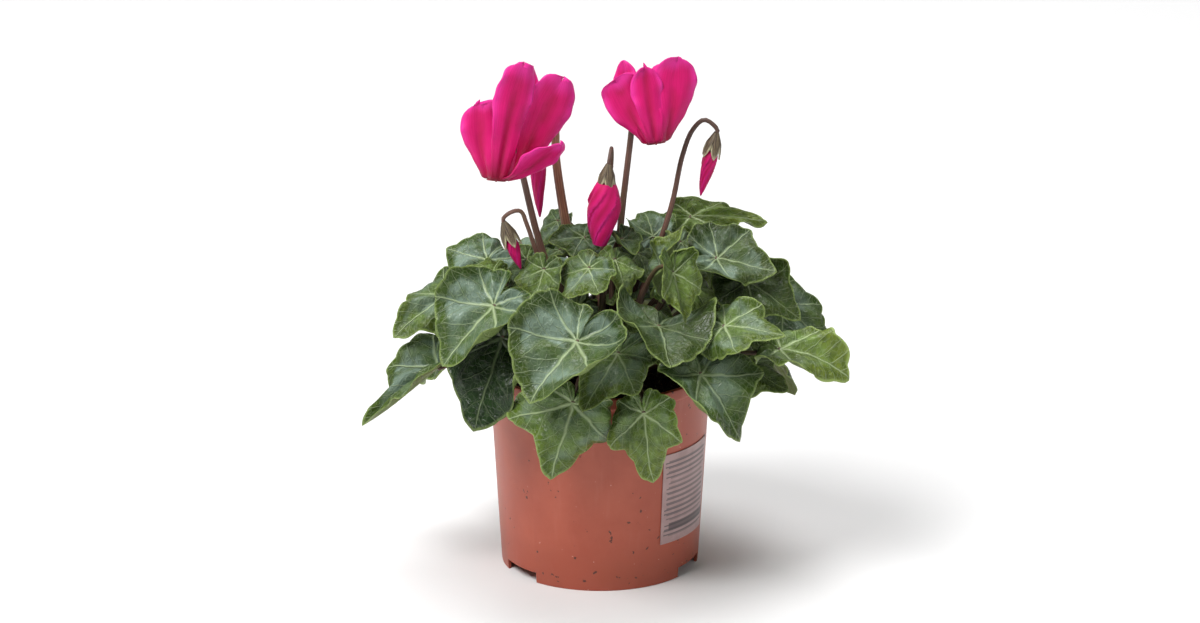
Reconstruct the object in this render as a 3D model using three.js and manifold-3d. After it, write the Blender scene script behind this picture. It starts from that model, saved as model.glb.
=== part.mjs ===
// A miniature cyclamen growing in a 9 cm terracotta-coloured plastic pot.
// Millimetres, +Z up. The origin is the middle of the pot's foot, and -Y is the side with the
// longest view of the pot, where the sticker is.

import * as THREE from "three";
import { mergeVertices } from "three/addons/utils/BufferGeometryUtils.js";
import Module from "manifold-3d";

const wasm = await Module();
wasm.setup();

// The pot: a thin injection-moulded wall on a foot ring with three water notches
const POT_HEIGHT = 82;
const POT_FOOT_RADIUS = 39;
const POT_RIM_RADIUS = 45;
const POT_WALL = 1.2;
const RIM_BAND = 4;
const RIM_STEP = 1;
const FLOOR_HEIGHT = 4.5;
const FLOOR_THICKNESS = 1.4;
const PAD_RADIUS = 14;
const PAD_SLOPE = 3;
const NOTCH_HEIGHT = 4.2;
const NOTCH_HALF_ANGLE = 14;
const NOTCH_ANGLES = [-24, 96, 216];
const DRAIN_RADIUS = 3.2;
const DRAIN_CIRCLE = 27;
const DRAIN_COUNT = 5;
const POT_SEGMENTS = 40;

// The sticker on the pot's wall
const STICKER_ANGLES = [-54, -13];
const STICKER_HEIGHTS = [17, 55];
const STICKER_THICKNESS = 0.35;

// The soil and the tuber that is half sunk in it
const SOIL_HEIGHT = 72.5;
const TUBER_CENTRE = 69;
const TUBER_RADIUS = 18;
const TUBER_HALF_HEIGHT = 11;

const SEAT_GAP = 0.3;

// Every leaf: the blade's thickness and the leaf stem's radius
const BLADE_THICKNESS = 0.7;
const LEAF_STEM_RADIUS = 1;
const LEAF_STEM_RINGS = [0, 0.25, 0.5, 0.75, 1];
const CURL_START = 0.55;
const ROOT_CIRCLE = 15.5;

// A leaf's outline: degrees from the tip, and the radius as a share of the blade's length
const OUTLINE = [
  [0, 0.98],
  [10, 0.88],
  [26, 0.69],
  [42, 0.68],
  [58, 0.79],
  [74, 0.69],
  [92, 0.61],
  [110, 0.68],
  [128, 0.63],
  [146, 0.62],
  [162, 0.55],
  [172, 0.44],
  [180, 0.2],
];

// The leaves of the side that the photograph shows. at: where the leaf stem meets the blade, and tip:
// where the blade points to. roll: degrees that the upper face leans to the right of the line to the tip.
// droop and arch: bend along and across the blade, in degrees over one blade length. fold: slope of the
// two halves up from the midrib. wide and back: width, and size of the back lobes, against the usual.
// swing: degrees that the stem's root is moved round the tuber. wave and cup: height of the margin's
// waves and of the whole margin, as shares of the blade's length. curls: places where the margin
// rolls up, as degrees from the tip, spread, and degrees of turning.
const SHOWN_LEAVES = [
  // upper left
  {
    at: [-44.5, 2.5, 123.5],
    tip: [-65.5, -9.5, 117],
    roll: 30,
    droop: 30,
    arch: 30,
    wide: 0.85,
    wave: 0.1,
    curls: [[150, 40, 60]],
  },
  { at: [-60, -4, 111], tip: [-82, -18, 102.5], roll: 25, droop: 30, arch: 40, wide: 0.75, wave: 0.1 },
  {
    at: [-41.5, -34, 117],
    tip: [-64.5, -46, 98],
    roll: 24,
    droop: 25,
    arch: -60,
    wide: 0.95,
    back: 0.8,
    curls: [[60, 50, 90], [-115, 45, 75]],
  },
  // lower left
  {
    at: [-64, -11.5, 83.5],
    tip: [-92.5, -12, 59.5],
    roll: 26,
    droop: 10,
    arch: 0,
    fold: 1.2,
    wide: 0.38,
    back: 0.6,
  },
  {
    at: [-38, -35.5, 104.5],
    tip: [-50.5, -49.5, 71.5],
    roll: 5,
    droop: 10,
    arch: 35,
    wide: 0.95,
    back: 0.45,
    swing: -15,
    curls: [[50, 14, 130]],
  },
  // front
  {
    at: [-9, -55.5, 110],
    tip: [-29.5, -73.5, 92.5],
    roll: 22,
    droop: 20,
    arch: -60,
    wide: 1.1,
    cup: 0.06,
    curls: [[62, 40, 80], [150, 30, 60]],
  },
  {
    at: [-10.5, -55, 84.5],
    tip: [-19.5, -63, 54.5],
    roll: 48,
    droop: 15,
    arch: 20,
    wide: 1.02,
    back: 0.45,
    swing: -5,
    wave: 0.1,
    curls: [[75, 45, -120]],
  },
  {
    at: [17, -55.5, 80.5],
    tip: [19.5, -61.5, 52.5],
    roll: -35,
    droop: 15,
    arch: 25,
    wide: 0.76,
    back: 0.6,
    swing: 5,
    wave: 0.1,
  },
  {
    at: [7, -48, 102.5],
    tip: [-6, -70, 88.5],
    roll: 25,
    droop: 20,
    arch: 20,
    wide: 0.75,
    swing: -6,
    wave: 0.11,
    curls: [[-70, 30, 70]],
  },
  {
    at: [23, -36, 109.5],
    tip: [28.2, -62, 106],
    roll: 14,
    droop: 35,
    arch: -25,
    wide: 1.15,
    back: 1,
    wave: 0.12,
    cup: 0.1,
    curls: [[-95, 50, 60], [90, 30, 40]],
  },
  // right
  {
    at: [39.3, -46, 93.3],
    tip: [58.7, -58, 71.3],
    roll: -12,
    droop: 15,
    arch: -40,
    wide: 1,
    swing: -4,
    curls: [[-60, 30, 50]],
  },
  {
    at: [56, -20, 88],
    tip: [74, -28, 81],
    roll: -20,
    droop: 20,
    arch: 30,
    swing: -22,
    curls: [[180, 50, 140]],
  },
  {
    at: [48.5, -35.5, 109.5],
    tip: [71.5, -46.5, 112.5],
    roll: -25,
    droop: 20,
    arch: 25,
    swing: 6,
    wave: 0.1,
  },
  {
    at: [70.5, -28.5, 97.5],
    tip: [99.5, -36.5, 96.5],
    roll: -18,
    droop: 25,
    arch: -30,
    wide: 0.75,
    back: 0.7,
    swing: 1,
    wave: 0.18,
  },
  { at: [71.8, 2, 104.7], tip: [92.5, -8, 91.3], roll: -30, droop: 25, arch: 25, wide: 0.8 },
  {
    at: [58, -8, 118],
    tip: [81, -16, 107],
    roll: -30,
    droop: 20,
    arch: 25,
    wide: 0.8,
    swing: -8,
    curls: [[60, 40, 90]],
  },
  {
    at: [46, -8, 128],
    tip: [69, -12, 125],
    roll: -28,
    droop: 20,
    arch: -65,
    wide: 1.05,
    back: 1,
    swing: 9,
  },
  { at: [36.3, 26, 133.8], tip: [66.6, 20, 138.7], roll: -35, droop: 35, arch: 60, wide: 0.4 },
  // crown
  {
    at: [25, -9.5, 121.5],
    tip: [29.5, -9.5, 142.5],
    roll: -15,
    droop: 15,
    arch: 1,
    fold: 0.6,
    wide: 0.55,
    root: [8.5, -5.5],
  },
  {
    at: [28.5, -30.5, 129.5],
    tip: [33.5, -38.5, 111],
    roll: -2,
    droop: 15,
    arch: 1,
    fold: 0.7,
    wide: 0.62,
    wave: 0.11,
    curls: [[150, 40, 120]],
    root: [9, -8.5],
  },
  { at: [21, 16, 129], tip: [18, 26, 142], roll: 0, droop: 60, arch: -40, back: 1.1, root: [5.5, 9] },
  {
    at: [8.7, 0, 133],
    tip: [13.5, -9, 128.9],
    roll: 0,
    droop: 15,
    arch: -60,
    cup: 0.15,
    curls: [[-60, 60, 90]],
    root: [5, -1],
  },
  {
    at: [-6.5, 2.5, 133],
    tip: [-20.5, -1.5, 134.5],
    roll: 25,
    droop: 30,
    arch: 30,
    curls: [[-60, 50, 70]],
    root: [0.5, 1.5],
  },
  {
    at: [6, -12, 128.5],
    tip: [12, -24, 118],
    roll: 6,
    droop: 15,
    arch: 40,
    back: 0.65,
    curls: [[-80, 30, 90]],
    root: [1.5, -6],
  },
  {
    at: [-4.5, -25, 129.5],
    tip: [-15.5, -35, 119],
    roll: 4,
    droop: 15,
    arch: 20,
    wide: 0.95,
    wave: 0.1,
    root: [-2, -9.5],
  },
  {
    at: [-22, -19.5, 127],
    tip: [-26.5, -31.5, 116],
    roll: 4,
    droop: 15,
    arch: 20,
    back: 0.8,
    curls: [[80, 40, 90]],
    root: [-7, -10],
  },
  { at: [-29, -13, 125], tip: [-37, -19, 119], roll: 10, droop: 15, arch: 20, root: [-11, -2] },
  { at: [-17, 22, 133], tip: [-24.5, 16, 124.5], roll: 0, droop: 15, arch: 15, root: [-4, 7.5] },
];

// The leaves of the far side: azimuth and distance of the leaf stem's end, its height, the blade's
// length, and how far the blade points down, in degrees.
const FAR_LEAVES = [
  { turn: 12, out: 62, height: 84, length: 28, dip: 38 },
  { turn: 48, out: 60, height: 86, length: 30, dip: 45 },
  { turn: 84, out: 62, height: 84, length: 30, dip: 50 },
  { turn: 120, out: 60, height: 86, length: 30, dip: 45 },
  { turn: 156, out: 62, height: 84, length: 30, dip: 45 },
  { turn: 30, out: 50, height: 108, length: 29, dip: 28 },
  { turn: 66, out: 48, height: 108, length: 28, dip: 28 },
  { turn: 102, out: 50, height: 108, length: 28, dip: 28 },
  { turn: 140, out: 52, height: 105, length: 28, dip: 33 },
  { turn: 77, out: 28, height: 124, length: 24, dip: 15, root: [0, 9] },
  { turn: 139, out: 32, height: 122, length: 23, dip: 8, root: [-6, 9] },
];

// Two more leaves between those of the crown
const INNER_LEAVES = [
  {
    at: [36, -12, 118],
    tip: [47, -18.5, 105],
    roll: -8,
    droop: 20,
    arch: 30,
    wide: 0.85,
    back: 0.4,
    root: [8, 0.5],
  },
  {
    at: [-42, -16, 125],
    tip: [-56, -18.5, 126],
    roll: 20,
    droop: 20,
    arch: 50,
    fold: 0.3,
    wide: 0.7,
    root: [-12.5, -3.5],
  },
];

// The flowers. mouth: centre of the corolla's mouth. faces: where the mouth looks to. along: points of
// the stalk from the tuber to the hook. A petal has its angle round the mouth, its length and width,
// the angle it ends at, counted from the way the mouth looks, and the twist of its blade, in degrees.
// lean: its sideways bend in degrees. blunt: more than 2.3 makes its end broader, less makes it pointed.
// fold: the angle of its first fold. full and late: the shares of its length where it has its full width
// and where its end starts to round off. slant: degrees by which its end isn't square to its length.
// stalk: the stalk's radius at its foot and at its top.
const BLOOMS = [
  {
    mouth: [-40.5, -12, 161],
    faces: [-0.1, -0.35, -1],
    root: [-5, -2],
    along: [
      [-11, -3, 100],
      [-22, -3, 127],
      [-30, -4, 160],
      [-33, -5, 176],
      [-36.5, -8, 183],
    ],
    stalk: [1.7, 1.1],
    petals: [
      { angle: 220, length: 32.5, width: 16, ends: 167, twist: 40, lean: 7, blunt: 3, late: 0.75, slant: 20 },
      { angle: 278, length: 50, width: 17, ends: 176, twist: 20, lean: 10, blunt: 3, late: 0.7 },
      { angle: 346, length: 48, width: 21, ends: 161, twist: -50, lean: 6, blunt: 2.8, late: 0.68 },
      { angle: 322, length: 31, width: 16, ends: 130, twist: -9, lean: 3, fold: 106, full: 0.6 },
      { angle: 62, length: 50, width: 15, ends: 175, twist: 50, lean: -8, blunt: 1.4 },
    ],
  },
  {
    mouth: [22, 4, 171],
    faces: [0.15, -0.3, -1],
    root: [3, 3.5],
    along: [
      [5, 6, 100],
      [8.5, 9.5, 140],
      [12, 13.5, 170],
      [13.5, 14.5, 184],
      [16, 11.5, 191],
    ],
    stalk: [1.5, 1.1],
    petals: [
      { angle: 218, length: 30, width: 17, ends: 162, twist: 45, lean: -2, blunt: 3.4, late: 0.75, slant: 8 },
      { angle: 186, length: 36, width: 12, ends: 184, twist: 50, lean: 2, blunt: 1.8 },
      { angle: 272, length: 33.5, width: 14, ends: 178, twist: 20, lean: -1, blunt: 2.2 },
      { angle: 332, length: 35, width: 19, ends: 168, twist: -40, lean: 4, blunt: 2.6, late: 0.65 },
      { angle: 60, length: 32, width: 17, ends: 174, twist: 10 },
    ],
  },
];

// The buds. top: where the calyx is, tip: end of the closed petals, girth: greatest radius.
// shape: how the girth goes from the calyx to the tip, at BUD_SHARES of the length.
const BUD_SHARES = [0, 0.12, 0.35, 0.6, 0.85, 1];
const BUD_CONE = [0.8, 1, 0.95, 0.7, 0.4, 0.15];
const BUD_LANTERN = [0.55, 0.78, 1, 0.86, 0.62, 0.42];
const BUDS = [
  {
    top: [2.5, -5, 158],
    tip: [-0.3, -6, 133],
    girth: 6.6,
    shape: BUD_LANTERN,
    root: [0, -1],
    along: [
      [0, 0, 100],
      [2, 4, 140],
      [4.5, 4, 163],
      [4.5, 0.5, 170.5],
    ],
    stalk: [1.4, 0.7],
  },
  {
    top: [44, 14, 165],
    tip: [39.6, 13, 147],
    girth: 2.9,
    root: [7.5, 4.5],
    along: [
      [14, 7, 100],
      [28, 13, 142],
      [32.5, 15, 163],
      [36.5, 15, 173.5],
      [41, 15, 177.5],
    ],
    stalk: [1.3, 0.9],
  },
  {
    top: [-35, -14, 137.5],
    tip: [-31, -15, 126],
    girth: 2.5,
    root: [-6.5, -6.5],
    along: [
      [-13, -8, 100],
      [-24.5, -9.5, 130],
      [-28.5, -12, 143],
      [-31, -13, 149],
      [-34.5, -14, 149],
    ],
    stalk: [1.2, 0.8],
  },
  {
    top: [-24.9, 14, 167.2],
    tip: [-23.7, 12, 138.4],
    girth: 3.4,
    root: [-3, 4],
    along: [
      [-6, 8, 100],
      [-13.5, 14, 135],
      [-17.3, 18, 160],
      [-18, 18, 175],
      [-21, 16.5, 181],
    ],
    stalk: [2.3, 1.5],
  },
];

// A flower's parts
const MOUTH_RADIUS = 3.6;
const TUBE_RADIUS = 3;
const TUBE_LENGTH = 7;
const CALYX_RADIUS = 3.4;
const CALYX_LENGTH = 7.5;
const STALK_RINGS = [0, 0.15, 0.3, 0.45, 0.6, 0.7, 0.77, 0.82, 0.86, 0.9, 0.94, 0.97, 1];
const PETAL_THICKNESS = 0.7;
const PETAL_STARTS = 60;
const PETAL_FOLD = 152;
const PETAL_ROWS = [0, 0.05, 0.1, 0.2, 0.34, 0.5, 0.66, 0.8, 0.9, 0.96, 1];
const PETAL_CUP = 40;

const group = new THREE.Group();

function material(colour, roughness) {
  return new THREE.MeshStandardMaterial({ color: colour, roughness, metalness: 0 });
}

const MATERIALS = {
  pot: material(0xb3563d, 0.55),
  sticker: material(0xc9a8a2, 0.6),
  soil: material(0x2c211b, 1),
  tuber: material(0x5a4334, 0.9),
  leaf: material(0x3f6b3c, 0.6),
  petal: material(0xd8156f, 0.55),
  stalk: material(0x6b4038, 0.6),
};

// Every node has its own material, and a frame that turns it and moves it to its place.
function addNode(name, geometry, finish, frame = new THREE.Matrix4()) {
  const mesh = new THREE.Mesh(geometry, MATERIALS[finish].clone());
  mesh.name = name;
  mesh.applyMatrix4(frame);
  group.add(mesh);
}

function radians(degrees) {
  return (degrees * Math.PI) / 180;
}

// A solid for joining and cutting, from a closed geometry.
function solidOf(geometry) {
  const bare = geometry.clone();
  bare.deleteAttribute("normal");
  bare.deleteAttribute("uv");
  const merged = mergeVertices(bare, 1e-4);
  const solid = new wasm.Manifold(
    new wasm.Mesh({
      numProp: 3,
      vertProperties: new Float32Array(merged.attributes.position.array),
      triVerts: new Uint32Array(merged.index.array),
    }),
  );
  return solid;
}

// The largest body alone, with any small hollow that joining has shut in filled.
function outerBody(solid) {
  const bodies = solid.decompose();
  return bodies.reduce((best, body) => (body.volume() > best.volume() ? body : best));
}

function geometryOf(solid) {
  const mesh = solid.getMesh();
  const geometry = new THREE.BufferGeometry();
  geometry.setAttribute("position", new THREE.BufferAttribute(mesh.vertProperties, mesh.numProp));
  geometry.setIndex(new THREE.BufferAttribute(mesh.triVerts, 1));
  return geometry;
}

function geometryFrom(points, triangles) {
  const geometry = new THREE.BufferGeometry();
  const flat = points.flatMap((point) => [point.x, point.y, point.z]);
  geometry.setAttribute("position", new THREE.Float32BufferAttribute(flat, 3));
  geometry.setIndex(triangles.flat());
  return geometry;
}

// A closed plate from its upper points and the points below them, split alike on both faces.
function plate(upper, lower, triangles, rim) {
  const below = upper.length;
  const faces = triangles.flatMap(([a, b, c]) => [
    [a, b, c],
    [below + a, below + c, below + b],
  ]);
  rim.forEach((a, i) => {
    const b = rim[(i + 1) % rim.length];
    faces.push([a, below + a, below + b], [a, below + b, b]);
  });
  return solidOf(geometryFrom([...upper, ...lower], faces));
}

// A closed body through rings of points that all run the same way round.
function loft(rings) {
  const count = rings[0].length;
  const points = rings.flat();
  const faces = [];
  for (let k = 0; k + 1 < rings.length; k += 1) {
    for (let i = 0; i < count; i += 1) {
      const a = k * count + i;
      const b = k * count + ((i + 1) % count);
      faces.push([a, b, b + count], [a, b + count, a + count]);
    }
  }
  const last = (rings.length - 1) * count;
  for (let i = 1; i + 1 < count; i += 1) {
    faces.push([0, i + 1, i], [last, last + i, last + i + 1]);
  }
  return solidOf(geometryFrom(points, faces));
}

// A round stem along a curve, with a ring at each share of the way, and its radius at both ends.
function stem(curve, shares, sides, radii) {
  const first = curve.getTangentAt(0);
  const level = Math.abs(first.z) < 0.9 ? new THREE.Vector3(0, 0, 1) : new THREE.Vector3(1, 0, 0);
  const normal = level.cross(first).normalize();
  const rings = shares.map((share) => {
    const centre = curve.getPointAt(share);
    const tangent = curve.getTangentAt(share);
    normal.addScaledVector(tangent, -normal.dot(tangent)).normalize();
    const binormal = tangent.clone().cross(normal);
    const radius = radii[0] + (radii[1] - radii[0]) * share;
    const ring = [];
    for (let i = 0; i < sides; i += 1) {
      const angle = (2 * Math.PI * i) / sides;
      const point = centre.clone().addScaledVector(normal, radius * Math.cos(angle));
      ring.push(point.addScaledVector(binormal, radius * Math.sin(angle)));
    }
    return ring;
  });
  return loft(rings);
}

// The pot
function potRadius(height) {
  const straight = POT_RIM_RADIUS - RIM_STEP;
  return POT_FOOT_RADIUS + ((straight - POT_FOOT_RADIUS) * height) / POT_HEIGHT;
}

function makePot() {
  const floorTop = FLOOR_HEIGHT + FLOOR_THICKNESS;
  const bandFoot = POT_HEIGHT - RIM_BAND;
  const profile = [
    [0, 0],
    [PAD_RADIUS, 0],
    [PAD_RADIUS + PAD_SLOPE, FLOOR_HEIGHT],
    [potRadius(FLOOR_HEIGHT) - POT_WALL, FLOOR_HEIGHT],
    [potRadius(0) - POT_WALL, 0],
    [potRadius(0), 0],
    [potRadius(bandFoot - RIM_STEP), bandFoot - RIM_STEP],
    [POT_RIM_RADIUS, bandFoot],
    [POT_RIM_RADIUS, POT_HEIGHT],
    [potRadius(POT_HEIGHT) - POT_WALL, POT_HEIGHT],
    [potRadius(floorTop) - POT_WALL, floorTop],
    [PAD_RADIUS + PAD_SLOPE - FLOOR_THICKNESS, floorTop],
    [PAD_RADIUS - FLOOR_THICKNESS, FLOOR_THICKNESS],
    [0, FLOOR_THICKNESS],
  ].map(([radius, height]) => new THREE.Vector2(radius, height));
  const shell = new THREE.LatheGeometry(profile, POT_SEGMENTS);
  shell.rotateX(Math.PI / 2);
  let pot = solidOf(shell);
  for (const degrees of NOTCH_ANGLES) {
    const half = POT_FOOT_RADIUS * Math.sin(radians(NOTCH_HALF_ANGLE));
    const notch = new THREE.BoxGeometry(10, 2 * half, 2 * NOTCH_HEIGHT);
    notch.translate(POT_FOOT_RADIUS - 1, 0, 0);
    notch.rotateZ(radians(degrees));
    pot = pot.subtract(solidOf(notch));
  }
  for (let i = 0; i < DRAIN_COUNT; i += 1) {
    const drain = new THREE.CylinderGeometry(DRAIN_RADIUS, DRAIN_RADIUS, 4 * FLOOR_THICKNESS, 8);
    drain.rotateX(Math.PI / 2);
    drain.translate(DRAIN_CIRCLE, 0, FLOOR_HEIGHT);
    drain.rotateZ((2 * Math.PI * (i + 0.5)) / DRAIN_COUNT);
    pot = pot.subtract(solidOf(drain));
  }
  return geometryOf(pot);
}

function makeSticker() {
  const columns = 6;
  const upper = [];
  const lower = [];
  const triangles = [];
  for (let i = 0; i <= columns; i += 1) {
    const share = i / columns;
    const angle = radians(STICKER_ANGLES[0] + share * (STICKER_ANGLES[1] - STICKER_ANGLES[0]));
    for (const height of STICKER_HEIGHTS) {
      const inner = potRadius(height) + SEAT_GAP;
      const outer = inner + STICKER_THICKNESS;
      upper.push(new THREE.Vector3(outer * Math.cos(angle), outer * Math.sin(angle), height));
      lower.push(new THREE.Vector3(inner * Math.cos(angle), inner * Math.sin(angle), height));
    }
    if (i < columns) {
      const a = 2 * i;
      triangles.push([a, a + 2, a + 3], [a, a + 3, a + 1]);
    }
  }
  const rim = [];
  for (let i = 0; i <= columns; i += 1) rim.push(2 * i);
  for (let i = columns; i >= 0; i -= 1) rim.push(2 * i + 1);
  return geometryOf(plate(upper, lower, triangles, rim));
}

// The tuber, a flattened round body
function tuberSolid(growth) {
  const ball = new THREE.SphereGeometry(1, 16, 9);
  ball.rotateX(Math.PI / 2);
  ball.scale(TUBER_RADIUS + growth, TUBER_RADIUS + growth, TUBER_HALF_HEIGHT + growth);
  ball.translate(0, 0, TUBER_CENTRE);
  return solidOf(ball);
}

// The soil: a plug that fills the pot down to its floor, with a crumbly top raised by a formula
function makeSoil() {
  const sides = 24;
  const floorTop = FLOOR_HEIGHT + FLOOR_THICKNESS;
  const ringAt = (radius, height, crumble) => {
    const ring = [];
    for (let i = 0; i < sides; i += 1) {
      const angle = (2 * Math.PI * i) / sides;
      const rise = crumble * (Math.sin(5 * angle + radius) + Math.sin(9 * angle - 2 * radius));
      ring.push(new THREE.Vector3(radius * Math.cos(angle), radius * Math.sin(angle), height + rise));
    }
    return ring;
  };
  const padInside = PAD_RADIUS - FLOOR_THICKNESS - 2 * SEAT_GAP;
  const wallInside = (height) => (potRadius(height) - POT_WALL) * Math.cos(Math.PI / POT_SEGMENTS);
  const rings = [
    ringAt(padInside, FLOOR_THICKNESS + SEAT_GAP, 0),
    ringAt(padInside + PAD_SLOPE, floorTop + SEAT_GAP, 0),
    ringAt(wallInside(floorTop) - SEAT_GAP, floorTop + SEAT_GAP, 0),
    ringAt(wallInside(SOIL_HEIGHT) - SEAT_GAP, SOIL_HEIGHT, 0),
    ringAt(34, SOIL_HEIGHT + 0.6, 0.5),
    ringAt(24, SOIL_HEIGHT + 1, 0.5),
    ringAt(12, SOIL_HEIGHT + 1, 0),
  ];
  return geometryOf(loft(rings).subtract(tuberSolid(SEAT_GAP)));
}

// The point on the tuber's upper skin, or just above it, over a place of the plan.
function crownPoint(x, y) {
  const clearance = SEAT_GAP + 0.35;
  const share = Math.hypot(x, y) / (TUBER_RADIUS + clearance);
  const height = (TUBER_HALF_HEIGHT + clearance) * Math.sqrt(1 - share ** 2);
  return new THREE.Vector3(x, y, TUBER_CENTRE + height);
}

function smooth(low, high, value) {
  const share = Math.min(1, Math.max(0, (value - low) / (high - low)));
  return share * share * (3 - 2 * share);
}

// One leaf
function outlineRadius(leaf, degrees) {
  const turn = Math.abs(degrees);
  const radius = OUTLINE.find(([angle]) => angle >= turn)[1];
  return radius * (1 - (1 - leaf.back) * smooth(80, 140, turn));
}

function leafFrame(leaf) {
  const tip = leaf.tip.clone().sub(leaf.at).normalize();
  const upright = new THREE.Vector3(0, 0, 1).addScaledVector(tip, -tip.z).normalize();
  const normal = upright.applyAxisAngle(tip, -radians(leaf.roll));
  const side = normal.clone().cross(tip);
  return new THREE.Matrix4().makeBasis(tip, side, normal).setPosition(leaf.at);
}

// How far the margin is rolled up at an angle from the tip
function curlAt(leaf, degrees) {
  return leaf.curls.reduce((sum, [at, spread, turning]) => {
    const apart = ((degrees - at + 540) % 360) - 180;
    return sum + radians(turning) * Math.exp(-((apart / spread) ** 2));
  }, 0.05);
}

// A point of the blade: a share of the outline's radius, an angle from the tip, and a depth.
function bladePoint(leaf, share, degrees, depth) {
  const outline = outlineRadius(leaf, degrees) * leaf.length;
  const curl = curlAt(leaf, degrees);
  const rolled = (curl * Math.max(share - CURL_START, 0)) / (1 - CURL_START);
  const bend = ((1 - CURL_START) * outline) / curl;
  const radius = Math.min(share, CURL_START) * outline + bend * Math.sin(rolled);
  const along = radius * Math.cos(radians(degrees));
  const across = leaf.wide * radius * Math.sin(radians(degrees));
  const phase = radians(leaf.phase);
  const waves = Math.sin(radians(3 * degrees) + phase) + 0.5 * Math.sin(radians(5 * degrees) + 2 * phase);
  const margin = leaf.wave * leaf.length * share ** 3 * waves + leaf.cup * leaf.length * share ** 2;
  const archBend = radians(leaf.arch || 1) / leaf.length;
  const droopBend = radians(leaf.droop || 1) / leaf.length;
  const sideways = Math.sin(archBend * across) / archBend;
  const raised = leaf.fold * Math.abs(across) + margin + bend * (1 - Math.cos(rolled)) - depth;
  const lift = raised - (1 - Math.cos(archBend * across)) / archBend;
  const turn = droopBend * along;
  return new THREE.Vector3(
    (1 / droopBend + lift) * Math.sin(turn),
    sideways,
    (1 / droopBend + lift) * Math.cos(turn) - 1 / droopBend,
  );
}

function bladeSolid(leaf) {
  const angles = OUTLINE.map(([angle]) => angle);
  const around = [...angles, ...angles.slice(1, -1).reverse().map((angle) => -angle)];
  const inner = around.filter((angle, i) => i % 2 === 0);
  const face = (depth) => [
    bladePoint(leaf, 0, 0, depth),
    ...inner.map((angle) => bladePoint(leaf, 0.5, angle, depth)),
    ...around.map((angle) => bladePoint(leaf, 1, angle, depth)),
  ];
  const triangles = [];
  const outer = 1 + inner.length;
  inner.forEach((angle, i) => {
    const here = 1 + i;
    const next = 1 + ((i + 1) % inner.length);
    const first = outer + 2 * i;
    const last = outer + ((2 * i + 2) % around.length);
    triangles.push([0, here, next], [here, first, first + 1]);
    triangles.push([here, first + 1, next], [next, first + 1, last]);
  });
  const rim = around.map((angle, i) => outer + i);
  return plate(face(0), face(BLADE_THICKNESS), triangles, rim);
}

// The stem's root: its own place on the tuber, or the usual one, further out for the lower leaves
function leafRoot(leaf, end) {
  if (leaf.root) return crownPoint(...leaf.root);
  const azimuth = Math.atan2(end.y, end.x) + radians(leaf.swing);
  const elevation = Math.atan2(end.z - TUBER_CENTRE, Math.hypot(end.x, end.y));
  const out = ROOT_CIRCLE * Math.cos(elevation) ** 0.6;
  return crownPoint(out * Math.cos(azimuth), out * Math.sin(azimuth));
}

function leafStemCurve(leaf) {
  const frame = leafFrame(leaf);
  const tip = new THREE.Vector3().setFromMatrixColumn(frame, 0);
  const normal = new THREE.Vector3().setFromMatrixColumn(frame, 2);
  const end = leaf.at.clone().addScaledVector(normal, -BLADE_THICKNESS / 2);
  const root = leafRoot(leaf, end);
  const reach = end.distanceTo(root);
  const outward = end.clone().sub(root).setZ(0).normalize();
  const elevation = Math.asin((end.z - root.z) / reach);
  const rise = radians(55) + (35 / 90) * elevation;
  const leave = outward.multiplyScalar(Math.cos(rise)).setZ(Math.sin(rise));
  const arrive = normal.clone().multiplyScalar(-0.7).addScaledVector(tip, -0.6);
  arrive.z += 0.25;
  const path = [
    root,
    root.clone().addScaledVector(leave, 0.4 * reach),
    end.clone().addScaledVector(arrive, 0.3 * reach),
    end,
  ];
  const home = frame.clone().invert();
  return new THREE.CubicBezierCurve3(...path.map((point) => point.applyMatrix4(home)));
}

// A leaf in its blade's own frame: x to the tip, z out of the upper face
function makeLeaf(leaf) {
  const radii = [1.15 * LEAF_STEM_RADIUS, 0.9 * LEAF_STEM_RADIUS];
  const leafStem = stem(leafStemCurve(leaf), LEAF_STEM_RINGS, 5, radii);
  return geometryOf(bladeSolid(leaf).add(leafStem));
}

addNode("pot", makePot(), "pot");
addNode("pot_sticker", makeSticker(), "sticker");
addNode("soil", makeSoil(), "soil");
addNode("tuber", geometryOf(tuberSolid(0)), "tuber");

// The usual values of a leaf, and what its own entry says instead
function leafFrom(entry, place) {
  const usual = { roll: 10, droop: 25, arch: 25, fold: 0, wide: 0.9, back: 0.9, swing: 0 };
  const leaf = { ...usual, wave: 0.08, cup: 0, curls: [], phase: 137 * place, ...entry };
  if (entry.at) {
    leaf.at = new THREE.Vector3(...entry.at);
    leaf.tip = new THREE.Vector3(...entry.tip);
    leaf.length = leaf.at.distanceTo(leaf.tip);
    return leaf;
  }
  const turn = radians(entry.turn);
  const dip = radians(entry.dip);
  leaf.at = new THREE.Vector3(entry.out * Math.cos(turn), entry.out * Math.sin(turn), entry.height);
  const aim = new THREE.Vector3(
    Math.cos(dip) * Math.cos(turn),
    Math.cos(dip) * Math.sin(turn),
    -Math.sin(dip),
  );
  leaf.tip = leaf.at.clone().addScaledVector(aim, entry.length);
  return leaf;
}

// A flower's own axes: z runs from the mouth up the tube, x is kept level.
function flowerFrame(mouth, faces) {
  const upward = faces.clone().normalize().negate();
  const across = new THREE.Vector3(0, 1, 0).cross(upward).normalize();
  const back = upward.clone().cross(across);
  return new THREE.Matrix4().makeBasis(across, back, upward).setPosition(mouth);
}

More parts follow.
